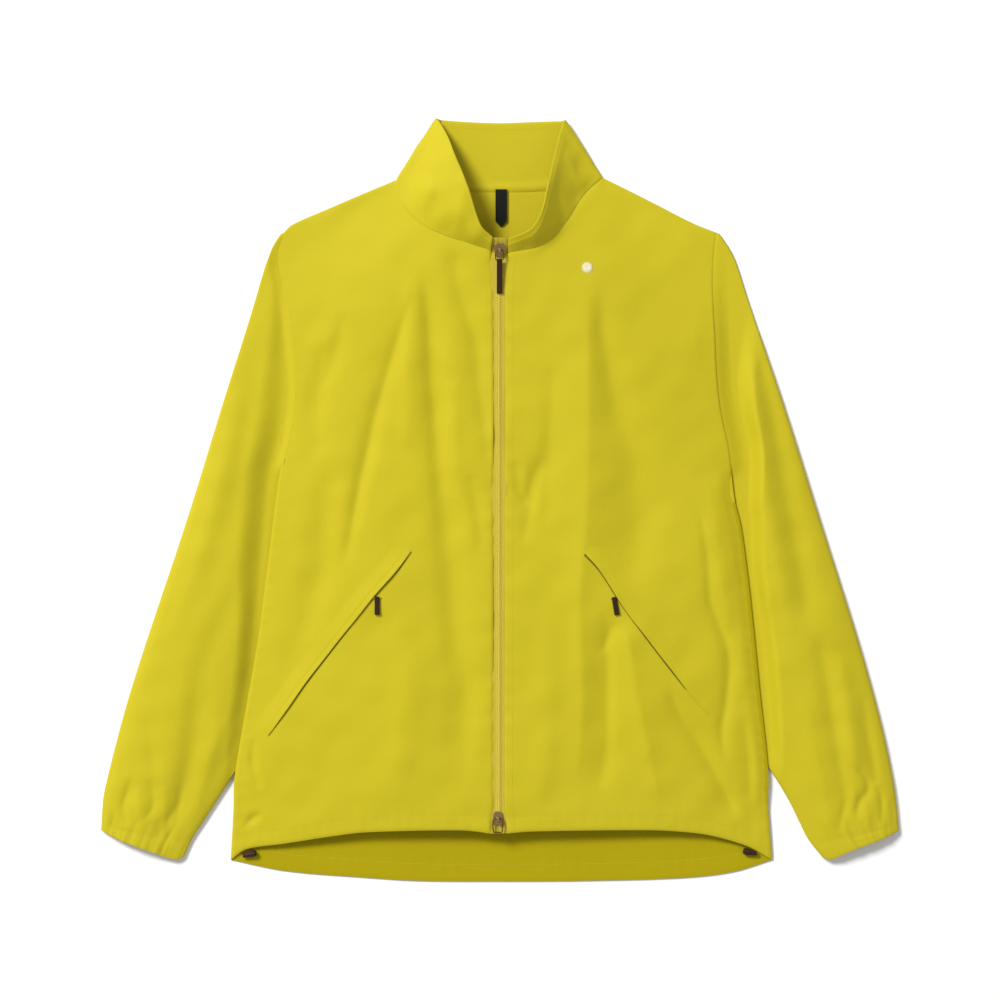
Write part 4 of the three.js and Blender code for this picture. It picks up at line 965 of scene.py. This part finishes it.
def lip_grid(side, rows=150, cols=22):
    """A strip along the mouth: the front's own surface, raised at the free edge and sinking further out."""
    line = plan_curve(POCKET_LINE[side], SIGN[side])(np.linspace(0, 1, rows))
    heading = unit(np.gradient(line, axis=0))
    out = np.stack([-heading[:, 1], heading[:, 0]], axis=1)
    out *= np.sign(out[:, :1]) * SIGN[side]
    across = np.linspace(0, 1, cols)[None, :] ** 1.3
    share = np.linspace(0, 1, rows)[:, None]
    wander = 0.35 * np.sin(share * 11 + 1) + 0.15 * np.sin(share * 29)
    place = line[:, None, :] + out[:, None, :] * (across * LIP_WIDTH + wander * (1 - across))[..., None]
    x, y = place[..., 0], place[..., 1]
    held = ease(share / 0.16) * ease((1 - share) / (0.2 if side == "right" else 0.5))
    lift = (1.3 + 0.4 * np.sin(share * 9)) * held * (1 - across) ** 2.2
    body = (1 - ease((across - 0.1) / 0.9)) * ease(share / 0.1) * ease((1 - share) / 0.1) - 0.85
    dent = 0.3 * bell(across * LIP_WIDTH, 0.9, LIP_STITCH) * held
    return np.dstack([x, y, height_on(fronts[side], x, y) + lift + body - dent])


lips = {}
for side in SIGN:
    lips[side] = lip_grid(side)
    lip = surface(f"pocket_lip_{side}", lips[side] if side == "left" else lips[side][::-1])
    thicken(lip, LIP_WALL, even=False)
    lip.data.materials.append(nylon)
    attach(lip, "jacket")
    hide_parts(f"pocket_welt_{side}")


# The zip tapes: knitted polyester in a paler, browner shade than the cloth, with a nylon coil sewn along
# each inner edge. They lie just under the fronts' edges and behind the foot of the collar.
ZIP_X = -1.5
TAPE_REACH = 12.5
TAPE_WALL = 0.6
TAPE_TOP_Y, TAPE_FOOT_Y = 261, -333
COLLAR_FOOT_Y = 245
tape_cloth = cloth_material(
    "zip_tape_knit", light=(0.60, 0.47, 0.045), dark=(0.56, 0.43, 0.035), roughness=0.7, sheen=0.1,
    pitch=1500.0, weave_depth=0.12, crinkle_size=50.0, crinkle_depth=0.1)


def zip_line(count):
    """Places down the zip: y, and the height of the tape's top face, under the lower of the front edges."""
    y = np.linspace(TAPE_TOP_Y, TAPE_FOOT_Y, count)
    down = (247 - y) / 580
    low_y = np.minimum(y, COLLAR_FOOT_Y)
    edges = [front_top(side, SIGN[side] * mix(*outs, down), low_y) for side, outs in (
        ("right", (9, 9)), ("left", (8, 7)))]
    on_front = np.minimum(*edges) - WALL + 0.4
    on_collar = 29.0 - (TAPE_TOP_Y - y) * 8 / 14 - 0.6
    return y, mix(on_front, on_collar, ease((y - ZIP_TOP) / 6))


def tape_drop(side, y):
    """How far the tape's outer edge lies below its middle, so that it stays under the cloth."""
    low_y = np.minimum(y, COLLAR_FOOT_Y)
    inner, outer = [front_top(side, np.full_like(y, SIGN[side] * out), low_y) for out in (9, 22)]
    return mix(np.clip(inner - outer, 0, 9), 1.6, ease((y - ZIP_TOP) / 6))


for side in SIGN:
    y, z = zip_line(260)
    reach = np.linspace(0.15, TAPE_REACH, 10)[None, :]
    drop = tape_drop(side, y)[:, None] * ease((reach - 8) / 4.5)
    rib = 0.12 * np.cos(reach * 2.4)
    across, down = np.broadcast_arrays(ZIP_X + SIGN[side] * reach, y[:, None])
    strip = np.dstack([across, down, z[:, None] - drop + rib])
    tape = surface(f"zip_tape_strip_{side}", strip[::-1] if side == "left" else strip)
    thicken(tape, TAPE_WALL)
    tape.data.materials.append(tape_cloth)
    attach(tape, "jacket")
    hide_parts(f"zip_tape_{side}")


def plain_material(name, colour, roughness, metallic=0.0, grain=0.0, grain_size=900.0, edge=None):
    """A solid finish with fine grain in its relief, and a paler tone on raised edges if one is given."""
    finish = bpy.data.materials.new(name)
    finish.use_nodes = True
    tree = finish.node_tree
    shader = tree.nodes["Principled BSDF"]
    shader.inputs["Base Color"].default_value = (*colour, 1)
    shader.inputs["Roughness"].default_value = roughness
    shader.inputs["Metallic"].default_value = metallic
    shader.inputs["Specular IOR Level"].default_value = 0.25
    spot = tree.nodes.new("ShaderNodeTexCoord")
    marks = place_group(tree, crinkle, Size=grain_size)
    tree.links.new(spot.outputs["Object"], marks.inputs["Place"])
    bump = tree.nodes.new("ShaderNodeBump")
    bump.inputs["Distance"].default_value = MM
    bump.inputs["Strength"].default_value = 0.6
    tree.links.new(maths(tree, "MULTIPLY", marks.outputs["Height"], grain), bump.inputs["Height"])
    tree.links.new(bump.outputs["Normal"], shader.inputs["Normal"])
    if edge:
        # Raised edges, found by their pointiness, take the paler edge colour
        edge_tone = tree.nodes.new("ShaderNodeMix")
        edge_tone.data_type = "RGBA"
        edge_tone.inputs["A"].default_value = (*colour, 1)
        edge_tone.inputs["B"].default_value = (*edge, 1)
        geometry = tree.nodes.new("ShaderNodeNewGeometry")
        ridge = maths(tree, "MULTIPLY", maths(tree, "SUBTRACT", geometry.outputs["Pointiness"], 0.5), 9.0)
        share = maths(tree, "MINIMUM", maths(tree, "MAXIMUM", ridge, 0.0), 1.0)
        tree.links.new(share, edge_tone.inputs["Factor"])
        tree.links.new(edge_tone.outputs["Result"], shader.inputs["Base Color"])
    return finish


coil_nylon = plain_material("coil_nylon", (0.80, 0.66, 0.085), 0.45, grain=0.05)
thread = plain_material("sewing_thread", (0.60, 0.50, 0.03), 0.6, grain=0.1)


def beads(name, centres, along, across, half_length, half_width, half_height, segments=6):
    """One mesh of many rounded bars, each of five elliptic rings along its own axis, thin at both ends."""
    up = np.cross(along, across)
    run = np.array([-1, -0.8, 0, 0.8, 1.0])
    fat = np.array([0.35, 0.85, 1, 0.85, 0.35])
    turn = np.linspace(0, 2 * np.pi, segments, endpoint=False)
    points = (
        centres[:, None, None] + along[:, None, None] * (run * half_length)[None, :, None, None]
        + across[:, None, None] * (fat[:, None] * np.cos(turn) * half_width)[None, :, :, None]
        + up[:, None, None] * (fat[:, None] * np.sin(turn) * half_height)[None, :, :, None])
    count, rings = len(centres), len(run)
    index = np.arange(count * rings * segments).reshape(count, rings, segments)
    turned = np.roll(index, -1, axis=2)
    sides = np.stack([index[:, :-1], turned[:, :-1], turned[:, 1:], index[:, 1:]], axis=-1).reshape(-1, 4)
    caps = np.concatenate([index[:, 0, ::-1], index[:, -1]])
    mesh = bpy.data.meshes.new(name)
    mesh.from_pydata((points.reshape(-1, 3) * MM).tolist(), [], sides.tolist() + caps.tolist())
    mesh.polygons.foreach_set("use_smooth", np.ones(len(mesh.polygons), bool))
    return placed(name, mesh)


# The coil of the front zip: bent nylon elements, one set from each tape, meshed at the middle into one
# narrow shining line between the two sliders.
TOOTH = {"pitch": 1.5, "out": 1.05, "half_length": 1.6, "half_width": 0.42, "half_height": 0.5}
y, z = zip_line(1200)
for side in SIGN:
    shift = TOOTH["pitch"] / 2 if side == "left" else 0
    places = np.arange(ZIP_TOP, ZIP_FOOT + 3, -TOOTH["pitch"]) - shift
    height = np.interp(-places, -y, z)
    out = np.full_like(places, ZIP_X + SIGN[side] * TOOTH["out"])
    centres = np.column_stack([out, places, height + 0.4])
    along, across = [np.tile(axis, (len(places), 1)) for axis in ([1.0, 0.0, 0.0], [0.0, 1.0, 0.0])]
    coil = beads(f"zip_coil_{side}", centres, along, across,
                 TOOTH["half_length"], TOOTH["half_width"], TOOTH["half_height"])
    coil.data.materials.append(coil_nylon)
    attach(coil, "jacket")


# The pocket zips: small reversed coils sewn under each lip and seen as a dark line along the mouth. Their
# dark olive is painted shade for the shadow under the lip; the zips themselves are real. On the wearer's left
# the mouth closes before its end.
POCKET_TEETH = 190
POCKET_ENDS = {"right": (0.035, 0.965), "left": (0.035, 0.8)}
# Painted shade: the coils' dark olive stands in for the shadow under each lip
pocket_coil_painted_shade = plain_material("pocket_coil_painted_shade", (0.16, 0.125, 0.006), 0.6, grain=0.05)
for side in SIGN:
    line = plan_curve(POCKET_LINE[side], SIGN[side])(np.linspace(*POCKET_ENDS[side], POCKET_TEETH))
    heading = unit(np.gradient(line, axis=0))
    inward = np.stack([heading[:, 1], -heading[:, 0]], axis=1)
    inward *= -np.sign(inward[:, :1]) * SIGN[side]
    places = line + inward * 0.1
    centres = np.column_stack([places, height_on(fronts[side], places[:, 0], places[:, 1]) + 0.25])
    inward, heading = [np.pad(way, ((0, 0), (0, 1))) for way in (inward, heading)]
    coil = beads(f"pocket_coil_{side}", centres, inward, heading, 1.0, 0.42, 0.4)
    coil.data.materials.append(pocket_coil_painted_shade)
    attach(coil, "jacket")


# The sewing: rows of lockstitch in matching thread along the zip, hem, armholes, cuffs, collar and
# pocket mouths, each stitch a small bead half sunk into the cloth.
def stitch_places(run, pitch=3.0):
    """Centres and headings of stitches, evenly spaced along a run of points."""
    length = lengths_along(run)
    at = np.arange(pitch, length[-1] - pitch, pitch)
    centres = np.stack([np.interp(at, length, run[:, k]) for k in range(3)], axis=1)
    ahead = np.stack([np.interp(at + pitch / 3, length, run[:, k]) for k in range(3)], axis=1)
    return centres, unit(ahead - centres)


def sew(name, runs, rise=0.08, pitch=3.0):
    """A piece with one bead for each stitch of the runs, its centre raised and its length along the run."""
    parts = [stitch_places(run, pitch) for run in runs]
    centres, heading = [np.concatenate([part[k] for part in parts]) for k in (0, 1)]
    centres = centres + np.array([0, 0, rise])
    across = unit(np.cross(np.array([0.0, 0.0, 1.0]), heading))
    piece = beads(name, centres, heading, across, pitch * 0.36, 0.2, 0.18)
    piece.data.materials.append(thread)
    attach(piece, "jacket")


for side in SIGN:
    grid, lip = fronts[side], lips[side]
    sew(f"zip_edge_stitches_{side}", [inset_run(grid, 2.0)[1:], inset_run(grid, 7.5)[1:]])
    sew(f"hem_stitches_{side}", [inset_run(grid.transpose(1, 0, 2), HEM_CASING, first=False)[1:-2]])
    arm = inset_run(grid, 1.6, first=False)
    sew(f"armhole_stitches_{side}", [arm[(arm[:, 1] > 30) & (arm[:, 1] < 262)]])
    sew(f"pocket_stitches_{side}", [inset_run(lip, 1.2)[8:-8], inset_run(lip, 5.0)[8:-8]])
    tops = sleeves[side][:, 2:64].transpose(1, 0, 2)
    sew(f"cuff_stitches_{side}", [inset_run(tops, CUFF_CASING + 0.5, first=False)])
sew("back_hem_stitches", [inset_run(back_face.transpose(1, 0, 2), HEM_CASING + 1, first=False)[4:-4]])
collar_face = collar_skin + collar_out * COLLAR_WALL / 2
neck_run = inset_run(collar_face, 1.2)
top_run = inset_run(collar_face, COLLAR_STITCH, first=False)
sew("collar_stitches", [top_run[1:-1], neck_run[2:48], neck_run[98:-2]])


# The hanger loop: black ribbed polyester tape, folded at a point and caught with both ends in the back
# neck seam.
loop_tape = cloth_material(
    "black_loop_tape", light=(0.012, 0.014, 0.010), dark=(0.006, 0.007, 0.005), roughness=0.75, sheen=0.25,
    pitch=900.0, weave_depth=0.3, crinkle_size=60.0, crinkle_depth=0.1)
LOOP = {"x": 1.2, "y": 311.5, "width": 11.5, "length": 38.0, "point": 6.0,
        "wall": 0.7, "low": 2.05, "gap": 1.35}
u = np.linspace(-1, 1, 25)[None, :]
t = np.linspace(0, 1, 90)[:, None]
# Along the tape: down the lower layer, round the fold at the tip and back up the upper layer
reach = (LOOP["length"] - 0.6) * (1 - np.abs(2 * t - 1))
narrow = np.clip((LOOP["length"] - reach) / LOOP["point"], 0.08, 1)
bow = 0.35 * np.sin(np.pi * reach / LOOP["length"]) * (2 * t - 1).clip(0, 1)
z = LOOP["low"] + LOOP["gap"] * ease((t - 0.5) * 9 + 0.5) + bow
x = LOOP["x"] + u * narrow * LOOP["width"] / 2
loop_grid = np.dstack([x, LOOP["y"] - reach + 0 * u, z + 0 * u + 0.05 * np.cos(u * 14)])
loop = thicken(surface("hanger_loop_tape", loop_grid), LOOP["wall"], 0.0, even=False)
loop.data.materials.append(loop_tape)
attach(loop, "jacket")
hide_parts("hanger_loop")


# The zip hardware: cast brass sliders with a browned antique finish, paler on the raised edges, and dark
# moulded pulls on them. They have the shapes of the frame's solids, with their edges rounded.
brass = plain_material("browned_brass", (0.21, 0.118, 0.036), 0.3, 0.9, 0.05, edge=(0.85, 0.60, 0.26))
dark_cord = plain_material("dark_brown_cord", (0.026, 0.0095, 0.003), 0.8, 0.0, 0.3, 1400.0)
toggle_plastic = plain_material("toggle_plastic", (0.034, 0.012, 0.005), 0.6, 0.0, 0.08)


def turned(points, tilt=0.0, turn=0.0, place=(0, 0, 0)):
    """Points tilted about X, then turned about Z, then moved to their place."""
    a, b = math.radians(tilt), math.radians(turn)
    about_x = np.array([[1, 0, 0], [0, math.cos(a), -math.sin(a)], [0, math.sin(a), math.cos(a)]])
    about_z = np.array([[math.cos(b), -math.sin(b), 0], [math.sin(b), math.cos(b), 0], [0, 0, 1]])
    return points @ (about_z @ about_x).T + np.array(place, float)


def prisms(name, parts, finish, bevel, segments=3):
    """One mesh of prisms, each a closed outline between two heights in its own axes, with bevelled edges."""
    points, faces = [], []
    for outline, low, high, move in parts:
        outline = np.array(outline, float)
        following = np.roll(outline, -1, axis=0)
        area = np.sum(outline[:, 0] * following[:, 1] - following[:, 0] * outline[:, 1])
        outline = outline if area > 0 else outline[::-1]
        count, start = len(outline), sum(len(block) for block in points)
        points.append(move(np.concatenate([
            np.column_stack([outline, np.full(count, level)]) for level in (low, high)])))
        lower, upper = np.arange(count) + start, np.arange(count) + start + count
        faces += [lower[::-1].tolist(), upper.tolist()]
        faces += np.stack([lower, np.roll(lower, -1), np.roll(upper, -1), upper], axis=1).tolist()
    mesh = bpy.data.meshes.new(name)
    mesh.from_pydata((np.concatenate(points) * MM).tolist(), [], faces)
    mesh.polygons.foreach_set("use_smooth", np.ones(len(mesh.polygons), bool))
    mesh.materials.append(finish)
    piece = placed(name, mesh)
    rounding = piece.modifiers.new("rounding", "BEVEL")
    rounding.width = bevel * MM
    rounding.segments = segments
    rounding.limit_method = "ANGLE"
    rounding.angle_limit = math.radians(40)
    piece.modifiers.new("even_normals", "WEIGHTED_NORMAL").keep_sharp = True
    return piece


def rounded(points, per_corner=5, radius=1.0):
    """An outline with each corner replaced by a quadratic arc that starts and ends a radius away from it."""
    points = np.array(points, float)
    before, after = np.roll(points, 1, axis=0) - points, np.roll(points, -1, axis=0) - points
    t = np.linspace(0, 1, per_corner)[None, :, None]
    start, end = [
        (points + np.minimum(radius, 0.45 * np.linalg.norm(way, axis=1))[:, None] * unit(way))[:, None]
        for way in (before, after)]
    return ((1 - t) ** 2 * start + 2 * t * (1 - t) * points[:, None] + t * t * end).reshape(-1, 2)


SLIDER = {"crown": 11, "tail": 8, "length": 14, "low": 0.3, "high": 3.3, "hole": 2.6, "post": 1.3}


def slider(name, node, place, tilt, turn):
    """A slider: two shields with a gap for the coil, a neck between them and a bridge over the top one."""
    crown, tail, half = SLIDER["crown"] / 2, SLIDER["tail"] / 2, SLIDER["length"] / 2
    shield = rounded([
        (-tail, -half), (tail, -half), (crown, half * 0.3), (crown * 0.9, half * 0.85), (crown * 0.35, half),
        (0, half * 0.86), (-crown * 0.35, half), (-crown * 0.9, half * 0.85), (-crown, half * 0.3)], 4, 1.6)
    neck = rounded([(-1.6, 2), (1.6, 2), (1.2, half * 0.8), (-1.2, half * 0.8)], 4, 0.8)
    hole, reach = SLIDER["hole"] / 2, SLIDER["hole"] / 2 + SLIDER["post"]
    high, roof = SLIDER["high"], SLIDER["high"] + SLIDER["hole"]
    arch = rounded([
        (-reach, high - 0.5), (-reach, roof), (-hole, roof + 1.2), (hole, roof + 1.2), (reach, roof),
        (reach, high - 0.5), (hole, high - 0.5), (hole, roof), (-hole, roof), (-hole, high - 0.5)], 3, 0.6)
    spot = lambda points: turned(points, tilt, turn, place)
    upright = lambda points: spot(points[:, [2, 0, 1]])
    piece = prisms(name, [
        (shield, high - 1.1, high, spot), (shield * 0.97, SLIDER["low"], SLIDER["low"] + 0.9, spot),
        (neck, SLIDER["low"] + 0.5, high - 0.6, spot), (arch, -1.2, 1.2, upright)], brass, 0.28)
    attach(piece, "jacket")
    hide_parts(node)


slider("top_slider_body", "zip_slider_top", (-0.5, 250, 23.57), 21, 0)
slider("bottom_slider_body", "zip_slider_bottom", (-2.2, -318, 16.11), 0, 180)


def ring(name, node, body, place, tilt, width, length, bar):
    """A flat ring pull from its hinge bar at the place: a rounded square section swept along its outline."""
    half, end = width / 2, -length + bar / 2
    outer = rounded([(-half + 0.6, bar / 2), (half - 0.6, bar / 2), (half, -length * 0.45),
                     (half - 0.8, end), (-half + 0.8, end), (-half, -length * 0.45)], 6, 2.2)
    outer = np.vstack([outer, outer[:1]])
    centre = np.array([0, (bar / 2 + end) / 2])
    lengths = lengths_along(outer)
    places = np.linspace(0, 1, 97)[:-1] * lengths[-1]
    line = np.stack([np.interp(places, lengths, outer[:, k]) for k in (0, 1)], axis=1)
    heading = unit(np.roll(line, -1, axis=0) - np.roll(line, 1, axis=0))
    inward = np.stack([-heading[:, 1], heading[:, 0]], axis=1)
    inward *= np.sign(np.sum((centre - line) * inward, axis=1))[:, None]
    line = line + inward * bar / 2
    turn = np.linspace(0, 2 * np.pi, 12, endpoint=False)
    cut = [np.abs(wave) ** 0.7 * np.sign(wave) for wave in (np.cos(turn), np.sin(turn))]
    flat = line[:, None] + inward[:, None] * (cut[0] * bar / 2)[None, :, None]
    grid = np.dstack([flat[..., 0], flat[..., 1], np.broadcast_to(cut[1] * bar / 2, flat.shape[:2])])
    closed = np.concatenate([grid, grid[:1]])
    grid = turned(closed.reshape(-1, 3), tilt, 0, place).reshape(closed.shape)
    piece = surface(name, grid, ring=True)
    weld = piece.modifiers.new("joined", "WELD")
    weld.merge_threshold = 0.01 * MM
    piece.data.materials.append(brass)
    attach(piece, body)
    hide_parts(node)


TOP_BAR, BOTTOM_BAR = (-0.5, 248.35, 27.86), (-2.2, -318.0, 20.71)
TOP_DROP, BOTTOM_DROP = 6.5, 3
ring("top_link_ring", "zip_link_top", "top_pull", TOP_BAR, TOP_DROP, width=9.5, length=11, bar=1.2)
ring("bottom_ring_pull", "zip_pull_bottom", "bottom_pull", BOTTOM_BAR, BOTTOM_DROP,
     width=11.5, length=15, bar=1.4)


def tab(name, node, body, place, tilt, turn, drop, width, length, thick, knob):
    """A pull tab: a flat bar with a half-round head at its hinge and a thicker end."""
    half = thick / 2
    head = [(half * math.cos(a), half * math.sin(a)) for a in np.radians(np.linspace(90, -90, 13))]
    outline = [*head, (-length + 4, -half), (-length + 3, -half - knob), (-length + 0.7, -half - knob),
               (-length, -half + 0.4), (-length, half - 0.4), (-length + 0.7, half + knob),
               (-length + 3, half + knob), (-length + 4, half)]
    spot = lambda points: turned(points[:, [2, 0, 1]] + np.array([0, drop, 0]), tilt, turn, place)
    piece = prisms(name, [(outline, -width / 2, width / 2, spot)], dark_cord, 0.6)
    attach(piece, body)
    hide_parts(node)


tab("top_cord_tab", "zip_tab_top", "top_pull", TOP_BAR, TOP_DROP, 0, -9.8,
    width=5.5, length=33, thick=2.8, knob=0.4)
POCKET_PIVOT = {"right": (-122.5, -97.5, 21.73, 0), "left": (114.0, -97.9, 20.90, 9.4)}
for side, (x, y, z, turn) in POCKET_PIVOT.items():
    tab(f"pocket_tab_{side}", f"pocket_pull_{side}", f"{side}_pocket_pull", (x, y, z), 0, turn, 0,
        width=5, length=17, thick=2.2, knob=0.3)
# The pocket sliders and the hem's cord locks are the frame's own solids, with these finishes
for kind, finish in (("pocket_slider", brass), ("hem_toggle", toggle_plastic)):
    for side in SIGN:
        for slot in bpy.data.objects[f"{kind}_{side}"].material_slots:
            slot.material = finish


# The dot on the chest: a plain round spot of cream satin stitch. Its threads lie flat on the cloth and run
# out from the middle.
cream_thread = plain_material("cream_thread", (0.74, 0.71, 0.48), 0.5, grain=0.1)
DOT = {"x": 87.0, "y": 232.0, "radius": 5.6, "threads": 30}
around = np.linspace(0, 2 * np.pi, DOT["threads"], endpoint=False)
radial = np.stack([np.cos(around), np.sin(around), 0 * around], axis=1)
centres = radial * DOT["radius"] * 0.5 + np.array([DOT["x"], DOT["y"], 0])
centres[:, 2] = height_on(fronts["left"], centres[:, 0], centres[:, 1]) + 0.2
tangent = np.stack([-np.sin(around), np.cos(around), 0 * around], axis=1)
dot = beads("chest_dot", centres, radial, tangent, DOT["radius"] * 0.5, 0.5, 0.4)
dot.data.materials.append(cream_thread)
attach(dot, "jacket")
